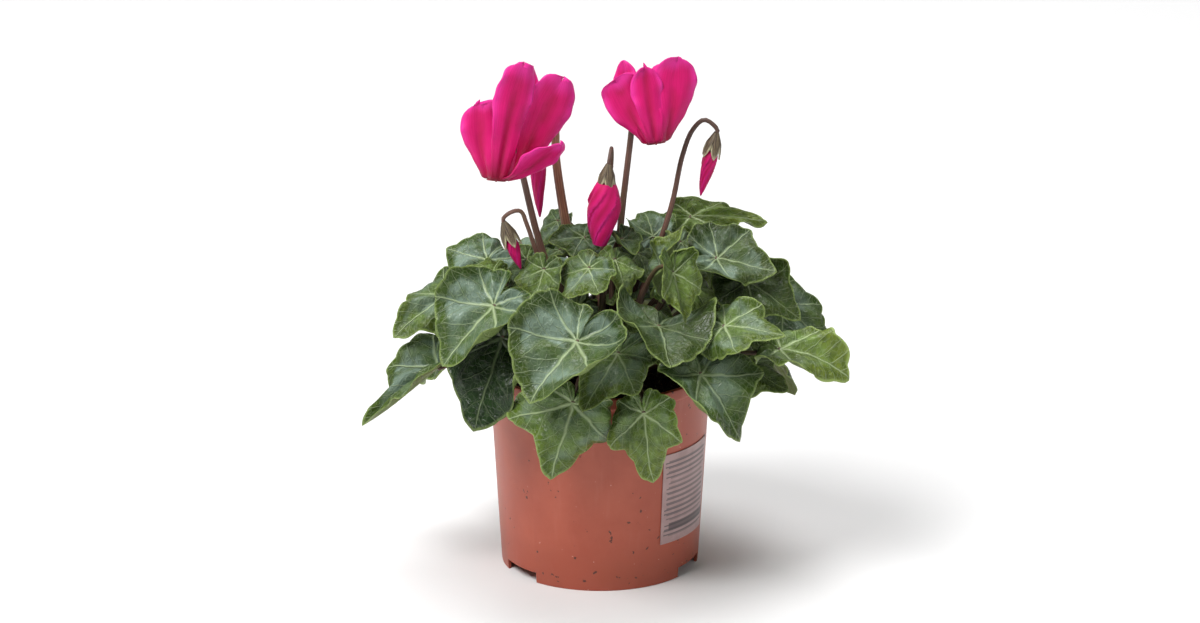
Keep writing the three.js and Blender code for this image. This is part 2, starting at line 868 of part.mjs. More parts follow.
// Which way a petal runs at a share of its length, and which way its width lies there.
function petalWays(petal, share) {
  const turn = radians(petal.angle);
  const outward = new THREE.Vector3(Math.cos(turn), Math.sin(turn), 0);
  const sideways = new THREE.Vector3(-Math.sin(turn), Math.cos(turn), 0);
  const fold = petal.fold ?? PETAL_FOLD;
  const first = PETAL_STARTS + (fold - PETAL_STARTS) * smooth(0, 0.1, share);
  const bend = radians(first + (petal.ends - fold) * smooth(0.1, 0.6, share));
  const lean = radians((petal.lean ?? 0) * smooth(0, 1, share));
  const straight = new THREE.Vector3(0, 0, -Math.cos(bend)).addScaledVector(outward, Math.sin(bend));
  const onward = straight.clone().multiplyScalar(Math.cos(lean)).addScaledVector(sideways, Math.sin(lean));
  const across = sideways.multiplyScalar(Math.cos(lean)).addScaledVector(straight, -Math.sin(lean));
  across.applyAxisAngle(onward, radians(petal.twist * smooth(0.05, 0.6, share)));
  return { onward, across, inside: onward.clone().cross(across) };
}

// The rows of points over a petal: it leaves the mouth outwards, turns back, and widens to a round end.
function petalRows(petal, columns) {
  const turn = radians(petal.angle);
  const centre = new THREE.Vector3(Math.cos(turn), Math.sin(turn), 0);
  centre.multiplyScalar(MOUTH_RADIUS - 0.9).setZ(1);
  const blunt = petal.blunt ?? 2.3;
  const cup = radians(PETAL_CUP) / petal.width;
  const upper = [];
  const lower = [];
  let last = 0;
  for (const share of PETAL_ROWS) {
    const middle = petalWays(petal, (share + last) / 2);
    centre.addScaledVector(middle.onward, petal.length * (share - last));
    last = share;
    const { onward, across, inside } = petalWays(petal, share);
    const starts = petal.late ?? 0.62;
    const late = Math.max(0, (share - starts) / (1 - starts));
    const end = Math.max((1 - late ** blunt) ** (1 / blunt), 0.15);
    const half = 0.5 * petal.width * (0.35 + 0.65 * smooth(0, petal.full ?? 0.8, share)) * end;
    const slant = Math.tan(radians(petal.slant ?? 0)) * smooth(0.3, 1, share);
    for (let i = 0; i <= columns; i += 1) {
      const place = half * ((2 * i) / columns - 1);
      const point = centre.clone().addScaledVector(across, Math.sin(cup * place) / cup);
      point.addScaledVector(inside, (1 - Math.cos(cup * place)) / cup);
      point.addScaledVector(onward, slant * place);
      upper.push(point);
      lower.push(point.clone().addScaledVector(inside, PETAL_THICKNESS));
    }
  }
  return { upper, lower };
}

function gridFaces(rows, columns) {
  const faces = [];
  const at = (k, i) => k * (columns + 1) + i;
  for (let k = 0; k < rows; k += 1) {
    for (let i = 0; i < columns; i += 1) {
      const [a, b, c, d] = [at(k, i), at(k, i + 1), at(k + 1, i + 1), at(k + 1, i)];
      faces.push([a, b, c], [a, c, d]);
    }
  }
  const rim = [];
  for (let i = 0; i < columns; i += 1) rim.push(at(0, i));
  for (let k = 0; k < rows; k += 1) rim.push(at(k, columns));
  for (let i = columns; i > 0; i -= 1) rim.push(at(rows, i));
  for (let k = rows; k > 0; k -= 1) rim.push(at(k, 0));
  return { faces, rim };
}

function petalSolid(petal) {
  const columns = 3;
  const { upper, lower } = petalRows(petal, columns);
  const { faces, rim } = gridFaces(PETAL_ROWS.length - 1, columns);
  return plate(upper, lower, faces, rim);
}

function turnedSolid(profile, sides) {
  const points = profile.map(([radius, height]) => new THREE.Vector2(radius, height));
  const lathe = new THREE.LatheGeometry(points, sides);
  lathe.rotateX(Math.PI / 2);
  return solidOf(lathe);
}

function makeCorolla(bloom) {
  const tube = turnedSolid(
    [
      [0, 1.2],
      [MOUTH_RADIUS - 1.4, 0],
      [MOUTH_RADIUS, 0],
      [TUBE_RADIUS, 2.5],
      [TUBE_RADIUS, TUBE_LENGTH - 1],
      [0, TUBE_LENGTH],
    ],
    10,
  );
  const petals = bloom.petals.map(petalSolid);
  return geometryOf(outerBody(petals.reduce((sum, petal) => sum.add(petal), tube)));
}

function bloomFrame(bloom) {
  return flowerFrame(new THREE.Vector3(...bloom.mouth), new THREE.Vector3(...bloom.faces));
}

// A stalk from the tuber, through its points, to the calyx; it hooks over at the top.
function stalkSolid(flower, calyxTop, calyxAxis) {
  const root = crownPoint(...flower.root);
  const points = flower.along.map((point) => new THREE.Vector3(...point));
  const above = calyxTop.clone().addScaledVector(calyxAxis, 2);
  const curve = new THREE.CatmullRomCurve3([root, ...points, above, calyxTop], false, "centripetal");
  return stem(curve, STALK_RINGS, 6, flower.stalk);
}

function calyxSolid(frame) {
  const cup = turnedSolid(
    [
      [0, 0],
      [CALYX_RADIUS, 0],
      [CALYX_RADIUS * 0.95, 0.5 * CALYX_LENGTH],
      [CALYX_RADIUS * 0.6, 0.85 * CALYX_LENGTH],
      [0, CALYX_LENGTH],
    ],
    8,
  );
  return cup.transform(frame.elements);
}

function makeBloomStalk(bloom) {
  const frame = bloomFrame(bloom);
  const axis = new THREE.Vector3().setFromMatrixColumn(frame, 2);
  const seat = new THREE.Vector3(...bloom.mouth).addScaledVector(axis, TUBE_LENGTH + SEAT_GAP);
  const calyx = calyxSolid(frame.clone().setPosition(seat));
  const top = seat.clone().addScaledVector(axis, CALYX_LENGTH - 1);
  return geometryOf(calyx.add(stalkSolid(bloom, top, axis)));
}

function budFrame(bud) {
  const top = new THREE.Vector3(...bud.top);
  const tip = new THREE.Vector3(...bud.tip);
  return flowerFrame(top, tip.clone().sub(top));
}

function makeBudPetals(bud) {
  const length = new THREE.Vector3(...bud.top).distanceTo(new THREE.Vector3(...bud.tip));
  const sides = 8;
  const shape = bud.shape ?? BUD_CONE;
  const rings = BUD_SHARES.map((share, k) => {
    const ring = [];
    for (let i = 0; i < sides; i += 1) {
      const angle = -(2 * Math.PI * i) / sides - 1.4 * share;
      const reach = bud.girth * shape[k] * (i % 2 ? 0.88 : 1);
      ring.push(new THREE.Vector3(reach * Math.cos(angle), reach * Math.sin(angle), -length * share));
    }
    return ring;
  });
  return geometryOf(loft(rings));
}

function makeBudStalk(bud) {
  const frame = budFrame(bud);
  const axis = new THREE.Vector3().setFromMatrixColumn(frame, 2);
  const seat = new THREE.Vector3(...bud.top).addScaledVector(axis, SEAT_GAP);
  const calyx = calyxSolid(frame.clone().setPosition(seat));
  const top = seat.clone().addScaledVector(axis, CALYX_LENGTH - 1);
  return geometryOf(calyx.add(stalkSolid(bud, top, axis)));
}

[...SHOWN_LEAVES, ...FAR_LEAVES, ...INNER_LEAVES].forEach((entry, i) => {
  const name = `leaf_${String(i + 1).padStart(2, "0")}`;
  const leaf = leafFrom(entry, i);
  addNode(name, makeLeaf(leaf), "leaf", leafFrame(leaf));
});

BLOOMS.forEach((bloom, i) => {
  addNode(`bloom_${i + 1}_petals`, makeCorolla(bloom), "petal", bloomFrame(bloom));
  addNode(`bloom_${i + 1}_stalk`, makeBloomStalk(bloom), "stalk");
});

BUDS.forEach((bud, i) => {
  addNode(`bud_${i + 1}_petals`, makeBudPetals(bud), "petal", budFrame(bud));
  addNode(`bud_${i + 1}_stalk`, makeBudStalk(bud), "stalk");
});

export default group;
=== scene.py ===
# A miniature cyclamen in a 9 cm plastic pot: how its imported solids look.
import math
import random
from dataclasses import dataclass

import bmesh
import bpy
import numpy as np
from mathutils import Matrix, Vector, noise


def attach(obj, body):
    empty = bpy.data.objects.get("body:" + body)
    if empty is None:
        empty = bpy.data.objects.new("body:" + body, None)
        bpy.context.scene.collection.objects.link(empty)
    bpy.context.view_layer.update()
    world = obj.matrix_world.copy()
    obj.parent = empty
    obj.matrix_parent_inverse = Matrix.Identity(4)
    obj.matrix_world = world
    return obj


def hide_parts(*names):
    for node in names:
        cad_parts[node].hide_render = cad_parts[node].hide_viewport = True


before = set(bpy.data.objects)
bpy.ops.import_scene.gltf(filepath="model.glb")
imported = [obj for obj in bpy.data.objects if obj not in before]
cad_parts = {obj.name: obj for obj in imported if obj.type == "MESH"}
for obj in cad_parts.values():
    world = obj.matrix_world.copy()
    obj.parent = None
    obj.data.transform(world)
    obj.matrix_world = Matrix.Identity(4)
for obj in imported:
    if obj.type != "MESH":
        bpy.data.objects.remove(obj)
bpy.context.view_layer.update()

# Shapes are in millimetres until a piece is made, and Z is up.
MM = 0.001

# The plant's own axes and origin
PLANT_BASE = (((1, 0, 0), (0, 1, 0), (0, 0, 1)), (0, 0, 0))
# How far the pattern runs along a stem, for each millimetre
TUBE_PLAN_SCALE = 0.05

# The pot
POT_HEIGHT = 82
POT_FOOT_RADIUS = 39
POT_RIM_RADIUS = 45
POT_WALL = 1.2
RIM_BAND = 4
RIM_STEP = 1
FLOOR_HEIGHT = 4.5
FLOOR_THICKNESS = 1.4
PAD_RADIUS = 14
PAD_SLOPE = 3
NOTCH_HEIGHT = 4.2
NOTCH_HALF_ANGLE = 14
NOTCH_ANGLES = (-24, 96, 216)
DRAIN_RADIUS = 3.2
DRAIN_CIRCLE = 27
DRAIN_COUNT = 5
EDGE_ROUNDING = 0.35

# The sticker
STICKER_ANGLES = (-54, -13)
STICKER_HEIGHTS = (17, 55)
STICKER_THICKNESS = 0.3
STICKER_STAND = 0.12

# The soil and the tuber
SOIL_HEIGHT = 72.5
WALL_GAP = 0.25
TUBER_CENTRE = 69
TUBER_RADIUS = 18
TUBER_HALF_HEIGHT = 11
# Crumbs are strewn over the soil when it is made, so they are in metres
CRUMB_SIZE = 0.0014
CRUMB_UNEVENNESS = (0.003, 0.003, 0.002)
CRUMBS_PER_SQUARE_METRE = 420000
CRUMB_SEED = 5

# The leaves
BLADE_THICKNESS = 0.55
RIM_THICKNESS = 0.4
LEAF_STEM_RADIUS = 1
# Degrees above level at which a stem leaves the tuber when its leaf is far out
STEM_RISE = 55
# How far from the tuber's middle the stems start, and how deep under its skin
ROOT_CIRCLE = 15.5
ROOT_DEPTH = 0.8
# Outlines with lobes and without: degrees from the tip, and radius as a share of the blade's length
OUTLINE = (
    (0, 0.98), (10, 0.88), (26, 0.69), (42, 0.68), (58, 0.79), (74, 0.69), (92, 0.61), (110, 0.68),
    (128, 0.63), (146, 0.62), (162, 0.55), (172, 0.44), (180, 0.2),
)
ROUND_OUTLINE = (
    (0, 0.97), (20, 0.85), (42, 0.76), (75, 0.7), (110, 0.67), (146, 0.62), (162, 0.55), (172, 0.44),
    (180, 0.2),
)
# Degrees from the tip of the main veins, and of the end of the scale behind the last one
VEIN_ANGLES = (0, 58, 112, 150, 180)
VEIN_RAYS = (0, 1, 2, 3, 3.8)
# Rings of points in a blade, as shares of the way from its joint to its margin
BLADE_SHARES = (0.05, 0.12, 0.2, 0.3, 0.4, 0.5, 0.6, 0.68, 0.76, 0.83, 0.89, 0.94, 0.975, 1)
BLADE_COLUMNS = 160
# A curled margin turns from this share on
CURL_START = 0.55
QUILTING = 0.085
TEETH = 19
TOOTH_DEPTH = 0.045
FRILLS = 8
FRILL_HEIGHT = 0.03
CROWN_LEAVES = 16
CROWN_REACH = 40
# Degrees from one leaf to the next round a stem
GOLDEN_ANGLE = 137.5
# Small leaves just behind those of the crown: joint and tip
BACK_LEAVES = (
    ((-16, 7, 126), (-23, -4, 120)),
    ((32, 8, 129), (39, -2, 121)),
    ((2, 9, 127), (-4, -2, 120)),
    ((15, 3, 126), (21, -7, 119)),
    ((-29, 4, 123), (-38, -4, 117)),
    ((47, 8, 122), (58, 0, 116)),
    ((24, 20, 124), (30, 6, 121)),
    ((43, 14, 119), (48, 3, 108)),
    ((-36, 12, 114), (-43, 2, 104)),
    ((45, 12, 107), (53, 2, 96)),
    ((58, 8, 93), (68, -1, 83)),
)

# The flowers
MOUTH_RADIUS = 3.6
TUBE_RADIUS = 3
TUBE_LENGTH = 7
THROAT_DEPTH = 5.4
CALYX_LENGTH = 7.5
SEPAL_THICKNESS = 0.3
SEAT_GAP = 0.3
# How a bud's girth goes from its calyx to its tip
BUD_SHARES = (0, 0.12, 0.35, 0.6, 0.85, 1)
BUD_CONE = (0.8, 1, 0.95, 0.7, 0.4, 0.12)
BUD_LANTERN = (0.55, 0.78, 1, 0.86, 0.62, 0.42)
# Radians by which a bud's petals wind round it
BUD_WINDING = 2.4
ANTHER_RADII = (0.3, 0.5, 0.55, 0.5, 0.35, 0.08)
# The sepals' distance from the stalk's axis, from their foot to their tip
SEPAL_SHARES = (0, 0.15, 0.4, 0.7, 0.9, 1)
SEPAL_RADII = (0.9, 1.9, 3.1, 3.65, 3.75, 4)
SEPAL_HALF_ANGLE = 44
PETAL_THICKNESS = 0.45
PETAL_INSET = 0.9
PETAL_FOOT_WIDTH = 0.35
# Angles from the way the flower faces: where a petal leaves the mouth, and the end of its first fold
PETAL_STARTS = 60
PETAL_FOLD = 152
PETAL_CUP = 40
PETAL_GROOVE = 1.6
GROOVE_WIDTH = 0.28
PETAL_RIBS = 0.5
PETAL_FRILL = 1.2
PETAL_NICKS = (0.9, 0.4)
# A stalk with a wider foot than this has the light finish
THICK_STALK = 2


@dataclass
class Leaf:
    """A leaf: its joint and tip, its bends, and its looks, each from 0 to 1.

    curls are places where the margin rolls up: degrees from the tip, spread, and degrees of turning.
    """

    at: tuple
    tip: tuple
    roll: float = 10
    droop: float = 25
    arch: float = 25
    fold: float = 0
    wide: float = 0.9
    back: float = 0.9
    swing: float = 0
    wave: float = 0.08
    cup: float = 0
    curls: tuple = ()
    root: tuple = ()
    lobes: float = 0.8
    silver: float = 0.5
    young: float = 0.25
    # deep darkens the green and tones down the veins: partly the leaf's own dark green, partly painted
    # shade on leaves that lie in shadow
    deep: float = 0.4


SHOWN_LEAVES = [
    # upper left
    Leaf((-44.5, 2.5, 123.5), (-65.5, -9.5, 117), roll=30, droop=30, arch=30, wide=0.85, wave=0.1,
         curls=((150, 40, 60),), silver=0.9, deep=0.5),
    Leaf((-60, -4, 111), (-82, -18, 102.5), roll=25, droop=30, arch=40, wide=0.75, wave=0.1, lobes=1,
         young=0.5, deep=0.6),
    Leaf((-41.5, -34, 117), (-64.5, -46, 98), roll=24, droop=25, arch=-60, wide=0.95, back=0.8,
         curls=((60, 50, 90), (-115, 45, 75)), lobes=0.4, silver=1, deep=0.5),
    # lower left
    Leaf((-64, -11.5, 83.5), (-92.5, -12, 59.5), roll=26, droop=10, arch=0, fold=1.2, wide=0.38,
         back=0.6, silver=0.9, young=0.4, deep=0.4),
    Leaf((-38, -35.5, 104.5), (-50.5, -49.5, 71.5), roll=5, droop=10, arch=35, wide=0.95, back=0.45,
         swing=-15, curls=((50, 14, 130),), lobes=0.4, silver=0, young=0, deep=1),
    # front
    Leaf((-9, -55.5, 110), (-29.5, -73.5, 92.5), roll=22, droop=20, arch=-60, wide=1.1, cup=0.06,
         curls=((62, 40, 80), (150, 30, 60)), lobes=0.2, silver=0.8, deep=0.8),
    Leaf((-10.5, -55, 84.5), (-19.5, -63, 54.5), roll=48, droop=15, arch=20, wide=1.02, back=0.45,
         swing=-5, wave=0.1, curls=((75, 45, -120),), lobes=1.2, silver=0.4, young=0.55, deep=0.1),
    Leaf((17, -55.5, 80.5), (19.5, -61.5, 52.5), roll=-35, droop=15, arch=25, wide=0.76, back=0.6,
         swing=5, wave=0.1, lobes=1.2, silver=0.2, young=0.85, deep=0),
    Leaf((7, -48, 102.5), (-6, -70, 88.5), roll=25, droop=20, arch=20, wide=0.75, swing=-6, wave=0.11,
         curls=((-70, 30, 70),), silver=0.4, young=0.5, deep=0.5),
    Leaf((23, -36, 109.5), (28.2, -62, 106), roll=14, droop=35, arch=-25, wide=1.15, back=1, wave=0.12,
         cup=0.1, curls=((-95, 50, 60), (90, 30, 40)), lobes=0, silver=0.2, deep=1),
    # right
    Leaf((39.3, -46, 93.3), (58.7, -58, 71.3), roll=-12, droop=15, arch=-40, wide=1, swing=-4,
         curls=((-60, 30, 50),), silver=0.45, deep=0.6),
    Leaf((56, -20, 88), (74, -28, 81), roll=-20, droop=20, arch=30, swing=-22, curls=((180, 50, 140),),
         silver=0.1, young=0.5, deep=0.6),
    Leaf((48.5, -35.5, 109.5), (71.5, -46.5, 112.5), roll=-25, droop=20, arch=25, swing=6, wave=0.1,
         lobes=1, silver=0.4, young=0.6),
    Leaf((70.5, -28.5, 97.5), (99.5, -36.5, 96.5), roll=-18, droop=25, arch=-30, wide=0.75, back=0.7,
         swing=1, wave=0.18, lobes=1, silver=0.2, young=1, deep=0.1),
    Leaf((71.8, 2, 104.7), (92.5, -8, 91.3), roll=-30, droop=25, arch=25, wide=0.8, silver=0.4, deep=0.7),
    Leaf((58, -8, 118), (81, -16, 107), roll=-30, droop=20, arch=25, wide=0.8, swing=-8,
         curls=((60, 40, 90),), silver=0.05, deep=1),
    Leaf((46, -8, 128), (69, -12, 125), roll=-28, droop=20, arch=-65, wide=1.05, back=1, swing=9,
         silver=0.6, deep=1),
    Leaf((36.3, 26, 133.8), (66.6, 20, 138.7), roll=-35, droop=35, arch=60, wide=0.4, lobes=0.4,
         silver=0.05, young=0.9, deep=0.5),
    # crown
    Leaf((25, -9.5, 121.5), (29.5, -9.5, 142.5), roll=-15, droop=15, arch=1, fold=0.6, wide=0.55,
         root=(8.5, -5.5), young=0.8),
    Leaf((28.5, -30.5, 129.5), (33.5, -38.5, 111), roll=-2, droop=15, arch=1, fold=0.7, wide=0.62,
         wave=0.11, curls=((150, 40, 120),), root=(9, -8.5), silver=0.1, young=0.9),
    Leaf((21, 16, 129), (18, 26, 142), roll=0, droop=60, arch=-40, back=1.1, root=(5.5, 9), silver=1),
    Leaf((8.7, 0, 133), (13.5, -9, 128.9), roll=0, droop=15, arch=-60, cup=0.15, curls=((-60, 60, 90),),
         root=(5, -1), silver=0.2, deep=0.9),
    Leaf((-6.5, 2.5, 133), (-20.5, -1.5, 134.5), roll=25, droop=30, arch=30, curls=((-60, 50, 70),),
         root=(0.5, 1.5), silver=0.3, deep=0.7),
    Leaf((6, -12, 128.5), (12, -24, 118), roll=6, droop=15, arch=40, back=0.65,
         curls=((-80, 30, 90),), root=(1.5, -6), silver=0.2, young=0.9),
    Leaf((-4.5, -25, 129.5), (-15.5, -35, 119), roll=4, droop=15, arch=20, wide=0.95, wave=0.1,
         root=(-2, -9.5), silver=0.6, young=0.6),
    Leaf((-22, -19.5, 127), (-26.5, -31.5, 116), roll=4, droop=15, arch=20, back=0.8,
         curls=((80, 40, 90),), root=(-7, -10), silver=0.2, young=0.7),
    Leaf((-29, -13, 125), (-37, -19, 119), roll=10, droop=15, arch=20, root=(-11, -2), silver=0.1,
         deep=1),
    Leaf((-17, 22, 133), (-24.5, 16, 124.5), roll=0, droop=15, arch=15, root=(-4, 7.5), young=0.4),
]

# Two more leaves between those of the crown
INNER_LEAVES = [
    Leaf((36, -12, 118), (47, -18.5, 105), roll=-8, droop=20, arch=30, wide=0.85, back=0.4,
         root=(8, 0.5), silver=0.05, young=0.7, deep=0.9),
    Leaf((-42, -16, 125), (-56, -18.5, 126), roll=20, droop=20, arch=50, fold=0.3, wide=0.7,
         root=(-12.5, -3.5), silver=0, young=1, deep=0.3),
]

# The leaves of the far side: azimuth and distance of the leaf stem's end, its height, the blade's
# length, how far the blade points down, and the stem's root where it isn't the usual one
FAR_LEAVES = (
    (12, 62, 84, 28, 38, ()),
    (48, 60, 86, 30, 45, ()),
    (84, 62, 84, 30, 50, ()),
    (120, 60, 86, 30, 45, ()),
    (156, 62, 84, 30, 45, ()),
    (30, 50, 108, 29, 28, ()),
    (66, 48, 108, 28, 28, ()),
    (102, 50, 108, 28, 28, ()),
    (140, 52, 105, 28, 33, ()),
    (77, 28, 124, 24, 15, (0, 9)),
    (139, 32, 122, 23, 8, (-6, 9)),
)


@dataclass
class Petal:
    """A petal: angle round the mouth, length, width, the angle it ends at and the twist of its blade.

    lean is its sideways bend, blunt makes its end broader, and fold is the angle of its first fold.
    It has its full width from one share of its length on, and its end rounds off after another.
    slant is the angle by which the end isn't square to the length.
    """

    angle: float
    length: float
    width: float
    ends: float
    twist: float
    lean: float = 0
    blunt: float = 2.3
    fold: float = PETAL_FOLD
    full: float = 0.8
    late: float = 0.62
    slant: float = 0


@dataclass
class Bloom:
    """An open flower: its mouth, the way it faces, and its stalk's root, points and radii at both ends."""

    mouth: tuple
    faces: tuple
    root: tuple
    along: tuple
    stalk: tuple
    petals: tuple


@dataclass
class Bud:
    """A closed bud: the two ends of its petals, its girth as a radius, and its stalk as in a flower."""

    top: tuple
    tip: tuple
    girth: float
    root: tuple
    along: tuple
    stalk: tuple
    shape: tuple = BUD_CONE


BLOOMS = (
    Bloom(
        mouth=(-40.5, -12, 161),
        faces=(-0.1, -0.35, -1),
        root=(-5, -2),
        along=((-11, -3, 100), (-22, -3, 127), (-30, -4, 160), (-33, -5, 176), (-36.5, -8, 183)),
        stalk=(1.7, 1.1),
        petals=(
            Petal(220, 32.5, 16, 167, 40, lean=7, blunt=3, late=0.75, slant=20),
            Petal(278, 50, 17, 176, 20, lean=10, blunt=3, late=0.7),
            Petal(346, 48, 21, 161, -50, lean=6, blunt=2.8, late=0.68),
            Petal(322, 31, 16, 130, -9, lean=3, fold=106, full=0.6),
            Petal(62, 50, 15, 175, 50, lean=-8, blunt=1.4),
        ),
    ),
    Bloom(
        mouth=(22, 4, 171),
        faces=(0.15, -0.3, -1),
        root=(3, 3.5),
        along=((5, 6, 100), (8.5, 9.5, 140), (12, 13.5, 170), (13.5, 14.5, 184), (16, 11.5, 191)),
        stalk=(1.5, 1.1),
        petals=(
            Petal(218, 30, 17, 162, 45, lean=-2, blunt=3.4, late=0.75, slant=8),
            Petal(186, 36, 12, 184, 50, lean=2, blunt=1.8),
            Petal(272, 33.5, 14, 178, 20, lean=-1, blunt=2.2),
            Petal(332, 35, 19, 168, -40, lean=4, blunt=2.6, late=0.65),
            Petal(60, 32, 17, 174, 10),
        ),
    ),
)

BUDS = (
    Bud(
        top=(2.5, -5, 158),
        tip=(-0.3, -6, 133),
        girth=6.6,
        root=(0, -1),
        along=((0, 0, 100), (2, 4, 140), (4.5, 4, 163), (4.5, 0.5, 170.5)),
        stalk=(1.4, 0.7),
        shape=BUD_LANTERN,
    ),
    Bud(
        top=(44, 14, 165),
        tip=(39.6, 13, 147),
        girth=2.9,
        root=(7.5, 4.5),
        along=((14, 7, 100), (28, 13, 142), (32.5, 15, 163), (36.5, 15, 173.5), (41, 15, 177.5)),
        stalk=(1.3, 0.9),
    ),
    Bud(
        top=(-35, -14, 137.5),
        tip=(-31, -15, 126),
        girth=2.5,
        root=(-6.5, -6.5),
        along=((-13, -8, 100), (-24.5, -9.5, 130), (-28.5, -12, 143), (-31, -13, 149), (-34.5, -14, 149)),
        stalk=(1.2, 0.8),
    ),
    Bud(
        top=(-24.9, 14, 167.2),
        tip=(-23.7, 12, 138.4),
        girth=3.4,
        root=(-3, 4),
        along=((-6, 8, 100), (-13.5, 14, 135), (-17.3, 18, 160), (-18, 18, 175), (-21, 16.5, 181)),
        stalk=(2.3, 1.5),
    ),
)


# Colours of the finishes, in linear light
LEAF_GREEN = (0.038, 0.098, 0.009)
# Dark green of deep leaves: partly their own colour, partly painted shade on leaves in shadow
LEAF_DEEP_GREEN = (0.004, 0.014, 0.002)
LEAF_YOUNG_GREEN = (0.15, 0.205, 0.022)
LEAF_DARK_PATCH = (0.014, 0.04, 0.006)
LEAF_LIGHT_PATCH = (0.2, 0.31, 0.07)
LEAF_GRAIN = (0.022, 0.055, 0.01)
LEAF_SILVER = (0.185, 0.26, 0.2)
LEAF_VEINS = (0.42, 0.52, 0.28)
LEAF_BELOW = (0.15, 0.21, 0.06)
LEAF_VEINS_BELOW = (0.26, 0.33, 0.14)
LEAF_RIM = (0.33, 0.44, 0.13)
PETAL_MAGENTA = (0.64, 0.004, 0.145)
# Dark red at a petal's foot: partly its own colour, partly painted shade of the hollow at the mouth
PETAL_THROAT = (0.26, 0.001, 0.025)
PETAL_STREAKS = (0.42, 0.002, 0.06)
# Dark red down a petal's middle: partly its own colour, partly painted shade in its groove
PETAL_GROOVE_RED = (0.33, 0.001, 0.02)
PETAL_EDGE = (0.84, 0.04, 0.37)
PETAL_LIGHT_PATCH = (0.76, 0.01, 0.22)
THROAT_RED = (0.3, 0.004, 0.03)
ANTHER_YELLOW = (0.55, 0.36, 0.08)
# Dark, light and greener tone of a stem
LEAF_STEM = ((0.05, 0.026, 0.02), (0.13, 0.075, 0.045), (0.12, 0.13, 0.05))
STALK = ((0.13, 0.06, 0.048), (0.23, 0.125, 0.09), (0.16, 0.12, 0.06))
LIGHT_STALK = ((0.21, 0.09, 0.055), (0.4, 0.2, 0.12), (0.27, 0.19, 0.08))
STALK_TOP = (0.05, 0.035, 0.028)
SEPAL_OLIVE = (0.21, 0.165, 0.095)
SEPAL_STREAKS = (0.045, 0.026, 0.02)
SEPAL_EDGE = (0.55, 0.5, 0.32)
POT_TERRACOTTA = (0.37, 0.075, 0.042)
POT_HAZE = (0.43, 0.1, 0.058)
POT_SCUFFS = (0.5, 0.16, 0.11)
POT_DIRT = (0.26, 0.05, 0.022)
POT_LOW_TONE = (0.33, 0.058, 0.024)
POT_SPECKS = (0.05, 0.025, 0.018)
POT_DUST = (0.7, 0.42, 0.33)
PAPER = (0.44, 0.3, 0.29)
PAPER_WORN = (0.36, 0.235, 0.225)
PRINT_GREY = (0.11, 0.088, 0.095)
PRINT_DARK = (0.06, 0.045, 0.05)
PEAT_DARK = (0.012, 0.008, 0.006)
PEAT_LIGHT = (0.07, 0.045, 0.03)
PEAT_FIBRES = (0.24, 0.16, 0.09)
CORK_DARK = (0.075, 0.045, 0.03)
CORK_LIGHT = (0.2, 0.125, 0.08)
CORK_CRACKS = (0.03, 0.018, 0.012)


# Node trees

def feed(tree, socket, value):
    """Gives a socket another node's output or a plain value."""
    if isinstance(value, bpy.types.NodeSocket):
        tree.links.new(value, socket)
    elif socket.type == "RGBA" and len(value) == 3:
        socket.default_value = (*value, 1)
    else:
        socket.default_value = value


def add_node(tree, kind, inputs, **settings):
    made = tree.nodes.new(kind)
    for name, value in settings.items():
        setattr(made, name, value)
    for key, value in inputs.items():
        feed(tree, made.inputs[key], value)
    return made


